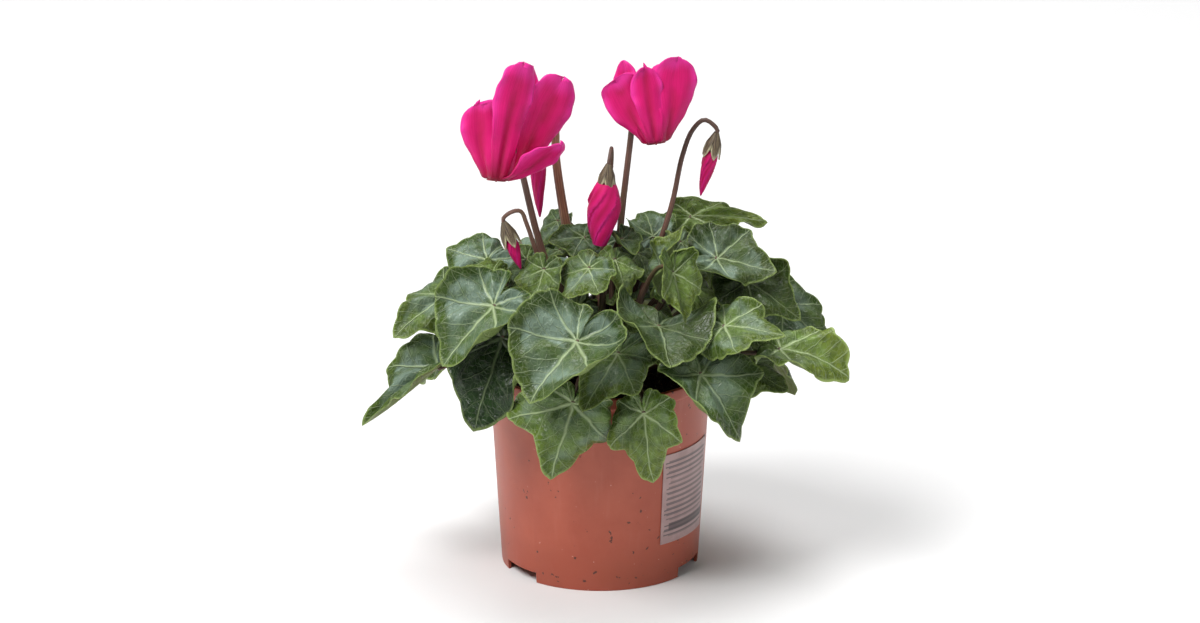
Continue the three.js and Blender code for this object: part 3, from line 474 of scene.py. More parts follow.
class Paint:
    """A material's nodes, from the pattern's place to the shader."""

    def __init__(self, name, **fixed):
        self.material = bpy.data.materials.new(name)
        self.material.use_nodes = True
        self.tree = self.material.node_tree
        self.shader = self.tree.nodes["Principled BSDF"]
        for socket, value in fixed.items():
            self.shader.inputs[socket.replace("_", " ")].default_value = value

    def node(self, kind, inputs, **settings):
        return add_node(self.tree, "ShaderNode" + kind, inputs, **settings)

    def math(self, operation, *values, clamp=False):
        inputs = dict(enumerate(values))
        return self.node("Math", inputs, operation=operation, use_clamp=clamp).outputs[0]

    def times(self, first, second, clamp=False):
        return self.math("MULTIPLY", first, second, clamp=clamp)

    def plus(self, first, second, share=1):
        """The first value and this share of the second."""
        return self.math("ADD", first, second if share == 1 else self.times(second, share))

    def less(self, first, second, share=1):
        """The first value without this share of the second."""
        return self.math("SUBTRACT", first, second if share == 1 else self.times(second, share))

    def vector(self, operation, first, second):
        return self.node("VectorMath", {0: first, 1: second}, operation=operation).outputs[0]

    def step(self, value, low, high, start=0, end=1):
        """A soft step from start to end as the value goes from low to high."""
        inputs = {"Value": value, "From Min": low, "From Max": high, "To Min": start, "To Max": end}
        return self.node("MapRange", inputs, interpolation_type="SMOOTHSTEP").outputs["Result"]

    def mix(self, share, first, second):
        """The first colour with this share of the second."""
        return self.node("Mix", {0: share, 6: first, 7: second}, data_type="RGBA").outputs[2]

    def noise(self, where, scale, detail=3, rough=0.5):
        inputs = {"Vector": where, "Scale": scale, "Detail": detail, "Roughness": rough}
        return self.node("TexNoise", inputs).outputs["Fac"]

    def attribute(self, name, output="Fac"):
        return self.node("Attribute", {}, attribute_name=name).outputs[output]

    def parts(self, vector):
        return self.node("SeparateXYZ", {0: vector}).outputs

    def place(self, x, y, z=0.0):
        return self.node("CombineXYZ", {0: x, 1: y, 2: z}).outputs[0]

    def object_place(self):
        return self.node("TexCoord", {}).outputs["Object"]

    def map_place(self):
        return self.node("UVMap", {}, uv_map="plan").outputs[0]

    def curve(self, value, points):
        """The value led through a curve from 0 to 1 that is straight between its points."""
        made = self.node("FloatCurve", {"Value": value})
        line = made.mapping.curves[0]
        for spot, (x, y) in zip(line.points, (points[0], points[-1])):
            spot.location = (x, y)
        for x, y in points[1:-1]:
            line.points.new(x, y)
        for spot in line.points:
            spot.handle_type = "VECTOR"
        made.mapping.update()
        return made.outputs[0]

    def done(self, colour, roughness, height, distance, strength):
        """The material with its colour, its roughness and the relief of its skin."""
        inputs = {"Height": height, "Distance": distance, "Strength": strength}
        relief = self.node("Bump", inputs).outputs[0]
        for name, value in (("Base Color", colour), ("Roughness", roughness), ("Normal", relief)):
            feed(self.tree, self.shader.inputs[name], value)
        return self.material


def leaf_finish():
    """A marbled leaf: veins from its joint, a silvery zone, a light rim and a pale underside."""
    paint = Paint("leaf_blade", IOR=1.37)
    plan = paint.map_place()
    bends = paint.node("TexNoise", {"Vector": plan, "Scale": 4.5, "Detail": 2.0}).outputs["Color"]
    bends = paint.vector("SUBTRACT", bends, (0.5, 0.5, 0.5))
    bends = paint.vector("MULTIPLY", bends, (0.07, 0.07, 0))
    where = paint.parts(paint.vector("ADD", plan, bends))
    across = paint.math("ABSOLUTE", where[1])
    turn = paint.math("DIVIDE", paint.math("ARCTAN2", across, where[0]), math.pi)
    scale = VEIN_RAYS[-1]
    rays = [(angle / 180, ray / scale) for angle, ray in zip(VEIN_ANGLES, VEIN_RAYS)]
    ray = paint.times(paint.curve(turn, rays), scale)
    reach = paint.node("VectorMath", {0: paint.place(where[0], where[1])}, operation="LENGTH").outputs[1]
    off = paint.times(paint.math("PINGPONG", ray, 0.5), 0.85)
    cross = paint.times(reach, paint.math("SINE", off))
    along = paint.times(reach, paint.math("COSINE", off))

    share = paint.attribute("share")
    under = paint.attribute("under")
    looks = paint.parts(paint.attribute("looks", "Vector"))

    width = paint.less(0.034, share, 0.024)
    main = paint.less(1.0, paint.step(cross, 0.003, width))
    slant = paint.less(paint.times(along, 5.5), cross, 6.0)
    stripe = paint.math("PINGPONG", paint.plus(slant, 0.35), 0.5)
    side = paint.less(1.0, paint.step(stripe, 0.01, 0.07))
    cells = {"Vector": plan, "Scale": 17.0, "Randomness": 0.9}
    net = paint.node("TexVoronoi", cells, feature="DISTANCE_TO_EDGE").outputs["Distance"]
    net = paint.less(1.0, paint.step(net, 0.0, 0.09))
    veins = paint.math("MAXIMUM", main, paint.times(side, 0.55))
    veins = paint.math("MAXIMUM", veins, paint.times(net, 0.22))

    blotch = paint.noise(paint.vector("ADD", plan, paint.place(looks[0], looks[2])), 2.6, 2.0, 0.5)
    clouds = paint.step(blotch, 0.36, 0.56)
    ragged = paint.plus(share, paint.noise(plan, 7.0, 4.0), 0.3)
    zone = paint.times(paint.step(ragged, 0.3, 0.42), paint.step(ragged, 0.86, 1.0, 1, 0))
    halo = paint.step(cross, 0.0, 0.05, 0.3, 0)
    silver = paint.plus(paint.times(zone, paint.plus(clouds, 0.2)), halo)
    patch = paint.noise(paint.vector("ADD", plan, paint.place(looks[2], looks[0])), 1.3, 1.0)
    silver = paint.times(silver, paint.step(patch, 0.38, 0.56, 0.3, 1.15))
    silver = paint.times(silver, looks[0], clamp=True)

    fine = paint.noise(plan, 40.0, 3.0)
    mottle = paint.noise(plan, 8.0, 2.0, 0.4)
    # The deep share darkens the green: partly the leaf's own dark green, partly painted shade on leaves in
    # shadow
    green = paint.mix(looks[2], LEAF_GREEN, LEAF_DEEP_GREEN)
    tipward = paint.step(where[0], -0.3, 0.7, 0.45, 1.0)
    green = paint.mix(paint.times(looks[1], tipward), green, LEAF_YOUNG_GREEN)
    green = paint.mix(paint.step(mottle, 0.42, 0.62, 0, 0.45), green, LEAF_DARK_PATCH)
    light = paint.times(paint.step(blotch, 0.6, 0.4), looks[1])
    light = paint.times(light, paint.step(ragged, 0.9, 0.75))
    green = paint.mix(paint.times(light, 0.6), green, LEAF_LIGHT_PATCH)
    green = paint.mix(paint.times(fine, 0.2), green, LEAF_GRAIN)
    top = paint.mix(paint.times(silver, 0.95), green, LEAF_SILVER)
    bold = paint.plus(0.35, looks[0], 0.3)
    bold = paint.plus(bold, looks[1], 0.35)
    bold = paint.less(bold, looks[2], 0.15)
    top = paint.mix(paint.times(veins, bold), top, LEAF_VEINS)
    below = paint.mix(paint.times(veins, 0.5), LEAF_BELOW, LEAF_VEINS_BELOW)
    edge = paint.plus(share, mottle, 0.05)
    light_rim = paint.plus(0.35, looks[1], 0.4)
    rim = paint.times(paint.step(edge, 0.975, 1.02), light_rim)
    skin = paint.mix(under, top, below)
    skin = paint.mix(rim, skin, LEAF_RIM)

    rough = paint.plus(paint.plus(0.24, blotch, 0.12), under, 0.2)
    sunk = paint.less(paint.times(under, 2.0), 1.0)
    height = paint.plus(paint.times(veins, sunk), fine, 0.25)
    height = paint.plus(height, mottle, 2.0)
    return paint.done(skin, rough, height, 0.0007, 0.9)


def petal_finish():
    """A velvety petal with fine lines along it and lighter edges, dark at the throat and down its middle:
    partly its own deep red, partly painted shade of its hollows.
    """
    sheen = {"Sheen_Weight": 0.12, "Sheen_Roughness": 0.4, "Sheen_Tint": (1, 0.45, 0.75, 1)}
    paint = Paint("petal_skin", IOR=1.33, **sheen)
    where = paint.parts(paint.map_place())
    across = paint.math("ABSOLUTE", where[0])
    lines = paint.place(paint.times(where[0], 16.0), paint.times(where[1], 1.6))
    streaks = paint.noise(lines, 1.0, 4.0, 0.6)
    cloud = paint.noise(paint.object_place(), 70.0, 2.0)
    # Darker at the throat: the petal's own dark base, deepened as painted shade of the hollow at the mouth
    throat = paint.step(where[1], 0.02, 0.34, 1, 0)
    skin = paint.mix(throat, PETAL_MAGENTA, PETAL_THROAT)
    skin = paint.mix(paint.step(streaks, 0.42, 0.7, 0, 0.35), skin, PETAL_STREAKS)
    # Darker down the middle: partly the petal's own colour, partly painted shade in the groove
    groove = paint.times(paint.step(across, 0.0, 0.5, 0.8, 0), paint.step(cloud, 0.3, 0.6))
    skin = paint.mix(groove, skin, PETAL_GROOVE_RED)
    edge = paint.times(paint.step(across, 0.5, 1.0), paint.step(where[1], 0.3, 0.75))
    edge = paint.math("MAXIMUM", edge, paint.step(where[1], 0.84, 1.0))
    skin = paint.mix(paint.times(edge, 0.75), skin, PETAL_EDGE)
    skin = paint.mix(paint.step(cloud, 0.35, 0.7, 0, 0.25), skin, PETAL_LIGHT_PATCH)
    return paint.done(skin, paint.plus(0.44, streaks, 0.16), streaks, 0.0003, 0.55)


def stem_finish(name, dark, light, green, top_shade=0.0):
    """A fleshy stalk: reddish brown with fine lines, greener in patches, and shaded at its top."""
    paint = Paint(name, IOR=1.42)
    where = paint.parts(paint.map_place())
    lines = paint.noise(paint.place(paint.times(where[0], 9.0), where[1]), 1.0, 3.0)
    patches = paint.noise(paint.object_place(), 60.0, 3.0)
    skin = paint.mix(paint.step(lines, 0.35, 0.65), dark, light)
    skin = paint.mix(paint.step(patches, 0.5, 0.7, 0, 0.6), skin, green)
    skin = paint.mix(paint.step(where[1], 3.2, 5.2, 0, top_shade), skin, STALK_TOP)
    grain = paint.noise(paint.object_place(), 1500.0, 2.0)
    return paint.done(skin, paint.plus(0.38, lines, 0.2), paint.plus(lines, grain), 0.0002, 0.4)


def sepal_finish():
    """A sepal: olive brown with dark streaks and pale edges."""
    paint = Paint("sepal_skin", IOR=1.42)
    where = paint.parts(paint.map_place())
    lines = paint.place(paint.times(where[0], 6.0), paint.times(where[1], 1.5))
    streaks = paint.noise(lines, 1.2, 4.0, 0.65)
    skin = paint.mix(paint.step(streaks, 0.4, 0.58), SEPAL_OLIVE, SEPAL_STREAKS)
    edge = paint.step(paint.math("ABSOLUTE", where[0]), 0.45, 0.95)
    edge = paint.times(edge, paint.step(where[1], 0.3, 0.6))
    edge = paint.math("MAXIMUM", edge, paint.step(where[1], 0.72, 1.0))
    skin = paint.mix(paint.times(edge, 0.9), skin, SEPAL_EDGE)
    return paint.done(skin, paint.plus(0.4, streaks, 0.2), streaks, 0.0002, 0.5)


def plain_finish(name, colour, roughness):
    """A small piece with a soft change of tone and a fine grain."""
    paint = Paint(name)
    grain = paint.noise(paint.object_place(), 900.0, 3.0)
    tone = paint.noise(paint.object_place(), 200.0, 2.0)
    skin = paint.mix(paint.step(tone, 0.35, 0.65), colour, tuple(0.6 * part for part in colour))
    return paint.done(skin, roughness, grain, 0.0001, 0.5)


def pot_finish():
    """Terracotta-coloured plastic, with dust, scuffs and specks of soil, and a dirty foot."""
    paint = Paint("pot_plastic", IOR=1.46)
    where = paint.object_place()
    height = paint.parts(where)[2]
    haze = paint.noise(where, 38.0, 5.0, 0.6)
    skin = paint.mix(paint.step(haze, 0.3, 0.7), POT_TERRACOTTA, POT_HAZE)
    marks = paint.node("Mapping", {0: where, "Scale": (1, 1, 0.12)}).outputs[0]
    runs = paint.noise(marks, 160.0, 4.0, 0.6)
    skin = paint.mix(paint.step(runs, 0.55, 0.8, 0, 0.4), skin, POT_SCUFFS)
    foot = paint.times(paint.step(height, 0.0, 0.022, 1, 0), paint.step(haze, 0.35, 0.6))
    skin = paint.mix(paint.times(foot, 0.6), skin, POT_DIRT)
    skin = paint.mix(paint.step(height, 0.06, 0.0, 0, 0.3), skin, POT_LOW_TONE)
    near_foot = paint.step(height, 0.0, 0.04, 0.045, 0)
    rare = paint.noise(where, 330.0, 2.0, 0.5)
    level = paint.less(0.715, near_foot)
    speck = paint.step(paint.less(rare, level), 0, 0.03)
    skin = paint.mix(paint.times(speck, 0.85), skin, POT_SPECKS)
    dust = paint.step(paint.noise(where, 610.0, 2.0, 0.5), 0.74, 0.78)
    skin = paint.mix(paint.times(dust, 0.5), skin, POT_DUST)
    rise = paint.plus(paint.times(speck, 2.0), paint.noise(where, 2600.0, 2.0), 0.3)
    return paint.done(skin, paint.plus(0.34, haze, 0.2), rise, 0.0001, 0.5)


def sticker_finish():
    """Pale paper printed with plain grey bars, a little worn and dirty."""
    paint = Paint("sticker_paper", IOR=1.45)
    where = paint.parts(paint.map_place())
    wear = paint.noise(paint.object_place(), 130.0, 5.0, 0.65)
    paper = paint.mix(paint.step(wear, 0.35, 0.7), PAPER, PAPER_WORN)
    rows = paint.times(where[1], 17.0)
    bar = paint.step(paint.math("PINGPONG", rows, 0.5), 0.2, 0.3)
    tone = paint.node("TexWhiteNoise", {"W": paint.math("ROUND", rows)}, noise_dimensions="1D").outputs[0]
    length = paint.plus(0.72, tone, 0.22)
    off_middle = paint.math("ABSOLUTE", paint.less(where[0], 0.5))
    inset = paint.math("LESS_THAN", off_middle, paint.times(length, 0.5))
    margin = paint.times(paint.step(where[1], 0.06, 0.08), paint.step(where[1], 0.93, 0.95, 1, 0))
    print_share = paint.times(paint.times(bar, inset), margin)
    fade = paint.plus(0.5, tone, 0.4)
    ink = paint.mix(paint.times(print_share, fade), paper, PRINT_GREY)
    thick = paint.times(paint.step(where[1], 0.13, 0.15), paint.step(where[1], 0.21, 0.23, 1, 0))
    thick = paint.times(thick, paint.step(where[0], 0.12, 0.14))
    ink = paint.mix(paint.times(thick, 0.75), ink, PRINT_DARK)
    return paint.done(ink, 0.42, wear, 0.0001, 0.3)


def soil_finish():
    """Dark damp peat with a few pale fibres."""
    paint = Paint("soil_peat")
    where = paint.object_place()
    lumps = paint.noise(where, 260.0, 6.0, 0.7)
    skin = paint.mix(paint.step(lumps, 0.35, 0.68), PEAT_DARK, PEAT_LIGHT)
    stretch = paint.node("Mapping", {0: where, "Scale": (1, 0.15, 1)}).outputs[0]
    fibre = paint.step(paint.noise(stretch, 900.0, 2.0), 0.7, 0.76)
    skin = paint.mix(paint.times(fibre, 0.6), skin, PEAT_FIBRES)
    return paint.done(skin, paint.plus(0.75, lumps, 0.2), lumps, 0.0012, 0.9)


def tuber_finish():
    """Corky brown skin with fine cracks."""
    paint = Paint("tuber_cork")
    where = paint.object_place()
    cells = {"Vector": where, "Scale": 420.0, "Randomness": 1.0}
    crack = paint.node("TexVoronoi", cells, feature="DISTANCE_TO_EDGE").outputs["Distance"]
    crack = paint.step(crack, 0.0, 0.14, 1, 0)
    tone = paint.noise(where, 130.0, 5.0, 0.65)
    skin = paint.mix(paint.step(tone, 0.32, 0.68), CORK_DARK, CORK_LIGHT)
    skin = paint.mix(paint.times(crack, 0.6), skin, CORK_CRACKS)
    return paint.done(skin, paint.plus(0.6, tone, 0.3), paint.less(tone, crack), 0.0006, 0.8)


FINISHES = {
    "blade": leaf_finish(),
    "leaf_stem": stem_finish("leaf_stem_skin", *LEAF_STEM),
    "petal": petal_finish(),
    "throat": plain_finish("throat_skin", THROAT_RED, 0.5),
    "anther": plain_finish("anther_yellow", ANTHER_YELLOW, 0.6),
    "stalk": stem_finish("stalk_skin", *STALK, top_shade=0.6),
    "thick_stalk": stem_finish("thick_stalk_skin", *LIGHT_STALK),
    "sepal": sepal_finish(),
    "pot": pot_finish(),
    "sticker": sticker_finish(),
    "soil": soil_finish(),
    "tuber": tuber_finish(),
}


# Meshes

class Form:
    """The points and faces of a piece, with a finish for each face and a place on it for each point."""

    def __init__(self):
        self.points = []
        self.places = []
        self.shares = []
        self.unders = []
        self.faces = []
        self.finishes = []
        self.face_finish = []

    def add_points(self, points, places, shares=None, unders=None):
        first = len(self.points)
        flat = np.asarray(points, float).reshape(-1, 3)
        self.points.extend(flat.tolist())
        self.places.extend(np.asarray(places, float).reshape(-1, 2).tolist())
        count = len(flat)
        self.shares.extend(np.zeros(count) if shares is None else np.ravel(shares))
        self.unders.extend(np.zeros(count) if unders is None else np.ravel(unders))
        return first

    def add_faces(self, faces, finish):
        if finish not in self.finishes:
            self.finishes.append(finish)
        self.faces.extend(faces)
        self.face_finish.extend([self.finishes.index(finish)] * len(faces))

    def grid(self, points, places, finish, closed=False, shares=None, unders=None):
        """A net of points in rows; closed joins the last column to the first. Returns its first point."""
        rows, columns = np.shape(points)[:2]
        first = self.add_points(points, places, shares, unders)
        faces = []
        for k in range(rows - 1):
            for i in range(columns if closed else columns - 1):
                a = first + k * columns + i
                b = first + k * columns + (i + 1) % columns
                faces.append((a, b, b + columns, a + columns))
        self.add_faces(faces, finish)
        return first

    def cap(self, ring, point, place, finish, under=0):
        """A fan from a middle point to a ring of points."""
        middle = self.add_points([point], [place], [0], [under])
        count = len(ring)
        self.add_faces([(middle, ring[i], ring[(i + 1) % count]) for i in range(count)], finish)

    def body(self, rings, places, finish, ends, end_places=((0, 0), (0, 0)), end_under=0, **marks):
        """A closed body through rings of points, with a fan over each end."""
        rows, sides = np.shape(rings)[:2]
        first = self.grid(rings, places, finish, closed=True, **marks)
        last = first + (rows - 1) * sides
        self.cap([first + i for i in reversed(range(sides))], ends[0], end_places[0], finish)
        self.cap([last + i for i in range(sides)], ends[1], end_places[1], finish, end_under)

    def sheet(self, front, back, places, finish):
        """A thin sheet from the rows of points of its two faces, closed along its rim."""
        rows, columns = np.shape(front)[:2]
        outer = self.grid(front, places, finish)
        inner = self.grid(back[:, ::-1], places[:, ::-1], finish)
        rim = list(range(columns)) + [k * columns + columns - 1 for k in range(1, rows)]
        rim += [(rows - 1) * columns + i for i in reversed(range(columns - 1))]
        rim += [k * columns for k in reversed(range(1, rows - 1))]
        behind = [(k // columns) * columns + columns - 1 - k % columns for k in rim]
        edges = []
        for i in range(len(rim)):
            j = (i + 1) % len(rim)
            edges.append((outer + rim[j], outer + rim[i], inner + behind[i], inner + behind[j]))
        self.add_faces(edges, finish)

    def make(self, name, looks=None, sharp=None):
        """The finished object, with its place in its mesh."""
        mesh = bpy.data.meshes.new(name)
        mesh.from_pydata((np.array(self.points) * MM).tolist(), [], self.faces)
        for finish in self.finishes:
            mesh.materials.append(FINISHES[finish])
        mesh.polygons.foreach_set("material_index", self.face_finish)
        mesh.polygons.foreach_set("use_smooth", [True] * len(self.faces))
        corners = np.zeros(len(mesh.loops), int)
        mesh.loops.foreach_get("vertex_index", corners)
        plan = mesh.uv_layers.new(name="plan")
        plan.data.foreach_set("uv", np.array(self.places)[corners].ravel())
        for key, values in (("share", self.shares), ("under", self.unders)):
            mesh.attributes.new(key, "FLOAT", "POINT").data.foreach_set("value", np.array(values, float))
        if looks:
            same = np.tile(looks, len(self.points))
            mesh.attributes.new("looks", "FLOAT_VECTOR", "POINT").data.foreach_set("vector", same)
        mesh.validate()
        if sharp:
            mark_sharp(mesh, sharp)
        mesh.update()
        return add_object(name, mesh)


def add_object(name, data):
    made = bpy.data.objects.new(name, data)
    bpy.context.scene.collection.objects.link(made)
    return made


def mark_sharp(mesh, degrees):
    """Edges that turn by more than this stay crisp."""
    shape = bmesh.new()
    shape.from_mesh(mesh)
    for edge in shape.edges:
        edge.smooth = len(edge.link_faces) == 2 and edge.calc_face_angle() < math.radians(degrees)
    shape.to_mesh(mesh)
    shape.free()


def finish_piece(piece, slot, *nodes):
    """Hands the piece over, with the solids of the pack that it takes the place of."""
    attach(piece, "root")
    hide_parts(*nodes)


def smooth(low, high, value):
    """A soft step from 0 to 1 as the value goes from low to high."""
    share = np.clip((np.asarray(value, float) - low) / (high - low), 0, 1)
    return share * share * (3 - 2 * share)


def unit(vector):
    vector = np.asarray(vector, float)
    return vector / np.linalg.norm(vector)


def through(knots, values, wanted):
    """A smooth line through values at their knots, read at the wanted places."""
    knots = np.asarray(knots, float)
    values = np.asarray(values, float)
    slopes = np.gradient(values, knots, axis=0)
    k = np.clip(np.searchsorted(knots, wanted, side="right") - 1, 0, len(knots) - 2)
    span = knots[k + 1] - knots[k]
    t = (np.asarray(wanted, float) - knots[k]) / span
    if values.ndim == 2:
        span, t = span[:, None], t[:, None]
    before = (1 + 2 * t) * (1 - t) ** 2 * values[k] + t * (1 - t) ** 2 * span * slopes[k]
    after = t * t * (3 - 2 * t) * values[k + 1] - t * t * (1 - t) * span * slopes[k + 1]
    return before + after


def net_places(across, along):
    """Places for the rows of points of a net, from its numbers across and along it."""
    return np.stack(np.broadcast_arrays(across[None, :], along[:, None]), axis=-1)


def round_angles(sides):
    return 2 * np.pi * np.arange(sides) / sides


def steps_along(points, power=1):
    """How far along a path each of its points lies."""
    steps = np.linalg.norm(np.diff(points, axis=0), axis=1) ** power
    return np.concatenate([[0], np.cumsum(steps)])


def pointing(turn, dip=0):
    """The way at this angle round z, and at this angle below level."""
    return np.array((math.cos(dip) * math.cos(turn), math.cos(dip) * math.sin(turn), -math.sin(dip)))


def tube(form, path, radii, sides, finish):
    """A round stem along a path of points, with a radius at each point."""
    path = np.asarray(path, float)
    tangents = np.gradient(path, axis=0)
    tangents /= np.linalg.norm(tangents, axis=1)[:, None]
    normal = np.cross((0, 0, 1) if abs(tangents[0][2]) < 0.9 else (1, 0, 0), tangents[0])
    angles = round_angles(sides)
    rings = []
    for centre, tangent, radius in zip(path, tangents, radii):
        normal = unit(normal - np.dot(normal, tangent) * tangent)
        binormal = np.cross(tangent, normal)
        way = np.outer(np.cos(angles), normal) + np.outer(np.sin(angles), binormal)
        rings.append(centre + radius * way)
    round_place = 1 - np.abs(2 * np.arange(sides) / sides - 1)
    along = TUBE_PLAN_SCALE * steps_along(path)
    places = net_places(round_place, along)
    form.body(rings, places, finish, (path[0], path[-1]), ((0, 0), (0, along[-1])))


def turned(form, profile, sides, finish, base=PLANT_BASE):
    """A body turned about z from a profile of radius and height that starts and ends on the axis."""
    angles = round_angles(sides)
    rings = [[(r * math.cos(a), r * math.sin(a), h) for a in angles] for r, h in profile[1:-1]]
    tips = [(0, 0, profile[0][1]), (0, 0, profile[-1][1])]
    heights = np.array([h for r, h in profile[1:-1]], float)
    places = net_places(np.arange(sides) / sides, heights)
    form.body(moved(rings, base), places, finish, moved(tips, base))


def moved(points, base):
    """Points in a base of three axes and an origin, as points of the plant."""
    axes, origin = base
    return np.asarray(points, float) @ np.asarray(axes, float) + np.asarray(origin, float)


def rounded(profile, radius, steps=3):
    """A closed profile with its inner corners rounded; its two ends on the axis stay."""
    soft = [profile[0]]
    for before, corner, after in zip(profile, profile[1:], profile[2:]):
        corner = np.array(corner, float)
        way_in = np.array(before, float) - corner
        way_out = np.array(after, float) - corner
        cut = min(radius, 0.45 * np.linalg.norm(way_in), 0.45 * np.linalg.norm(way_out))
        start = corner + cut * unit(way_in)
        end = corner + cut * unit(way_out)
        for k in range(steps + 1):
            t = k / steps
            soft.append(tuple((1 - t) ** 2 * start + 2 * t * (1 - t) * corner + t * t * end))
    soft.append(profile[-1])
    return soft


# The pot, its sticker, the soil and the tuber

def pot_radius(height):
    """The outer radius of the pot's tapered wall."""
    straight = POT_RIM_RADIUS - RIM_STEP
    return POT_FOOT_RADIUS + (straight - POT_FOOT_RADIUS) * height / POT_HEIGHT


def keep_result(piece):
    """The mesh that the piece's modifiers make takes the place of its own."""
    made = bpy.data.meshes.new_from_object(piece.evaluated_get(bpy.context.evaluated_depsgraph_get()))
    piece.modifiers.clear()
    old = piece.data
    piece.data = made
    bpy.data.meshes.remove(old)


def cut_away(piece, cutters):
    """The piece less its cutters, as one plain mesh."""
    for cutter in cutters:
        modifier = piece.modifiers.new("cut", "BOOLEAN")
        modifier.operation = "DIFFERENCE"
        modifier.solver = "EXACT"
        modifier.object = cutter
    keep_result(piece)
    for cutter in cutters:
        bpy.data.objects.remove(cutter)


def cutter_from(shape, matrix):
    mesh = bpy.data.meshes.new("cutter")
    shape.transform(matrix)
    shape.to_mesh(mesh)
    shape.free()
    return add_object("cutter", mesh)


def make_pot():
    floor_top = FLOOR_HEIGHT + FLOOR_THICKNESS
    band_foot = POT_HEIGHT - RIM_BAND
    profile = [
        (0, 0),
        (PAD_RADIUS, 0),
        (PAD_RADIUS + PAD_SLOPE, FLOOR_HEIGHT),
        (pot_radius(FLOOR_HEIGHT) - POT_WALL, FLOOR_HEIGHT),
        (pot_radius(0) - POT_WALL, 0),
        (pot_radius(0), 0),
        (pot_radius(band_foot - RIM_STEP), band_foot - RIM_STEP),
        (POT_RIM_RADIUS, band_foot),
        (POT_RIM_RADIUS, POT_HEIGHT),
        (pot_radius(POT_HEIGHT) - POT_WALL, POT_HEIGHT),
        (pot_radius(floor_top) - POT_WALL, floor_top),
        (PAD_RADIUS + PAD_SLOPE - FLOOR_THICKNESS, floor_top),
        (PAD_RADIUS - FLOOR_THICKNESS, FLOOR_THICKNESS),
        (0, FLOOR_THICKNESS),
    ]
    form = Form()
    turned(form, rounded(profile, EDGE_ROUNDING), 144, "pot")
    pot = form.make("pot_shell")
    cutters = []
    half = POT_FOOT_RADIUS * math.sin(math.radians(NOTCH_HALF_ANGLE))
    for degrees in NOTCH_ANGLES:
        shape = bmesh.new()
        bmesh.ops.create_cube(shape, size=1)
        bmesh.ops.scale(shape, vec=(10 * MM, 2 * half * MM, 2 * NOTCH_HEIGHT * MM), verts=shape.verts)
        turn = Matrix.Rotation(math.radians(degrees), 4, "Z")
        cutters.append(cutter_from(shape, turn @ Matrix.Translation(((POT_FOOT_RADIUS - 1) * MM, 0, 0))))
    for i in range(DRAIN_COUNT):
        shape = bmesh.new()
        radii = {"radius1": DRAIN_RADIUS * MM, "radius2": DRAIN_RADIUS * MM}
        bmesh.ops.create_cone(shape, cap_ends=True, segments=32, depth=4 * FLOOR_THICKNESS * MM, **radii)
        turn = Matrix.Rotation(2 * math.pi * (i + 0.5) / DRAIN_COUNT, 4, "Z")
        place = Matrix.Translation((DRAIN_CIRCLE * MM, 0, FLOOR_HEIGHT * MM))
        cutters.append(cutter_from(shape, turn @ place))
    cut_away(pot, cutters)
    mark_sharp(pot.data, 40)
    finish_piece(pot, "pot", "pot")


def make_sticker():
    columns = 24
    rows = 12
    across = np.arange(columns + 1) / columns
    up = np.arange(rows + 1) / rows
    angles = np.radians(STICKER_ANGLES[0] + across * (STICKER_ANGLES[1] - STICKER_ANGLES[0]))
    heights = STICKER_HEIGHTS[0] + up * (STICKER_HEIGHTS[1] - STICKER_HEIGHTS[0])
    places = net_places(across, up)

    def skin(rise):
        radius = pot_radius(heights)[:, None] + rise
        height = np.broadcast_to(heights[:, None], (rows + 1, columns + 1))
        return np.stack([radius * np.cos(angles), radius * np.sin(angles), height], axis=-1)

    form = Form()
    form.sheet(skin(STICKER_THICKNESS + STICKER_STAND), skin(STICKER_STAND), places, "sticker")
    sticker = form.make("sticker_paper", sharp=50)
    finish_piece(sticker, "sticker", "pot_sticker")


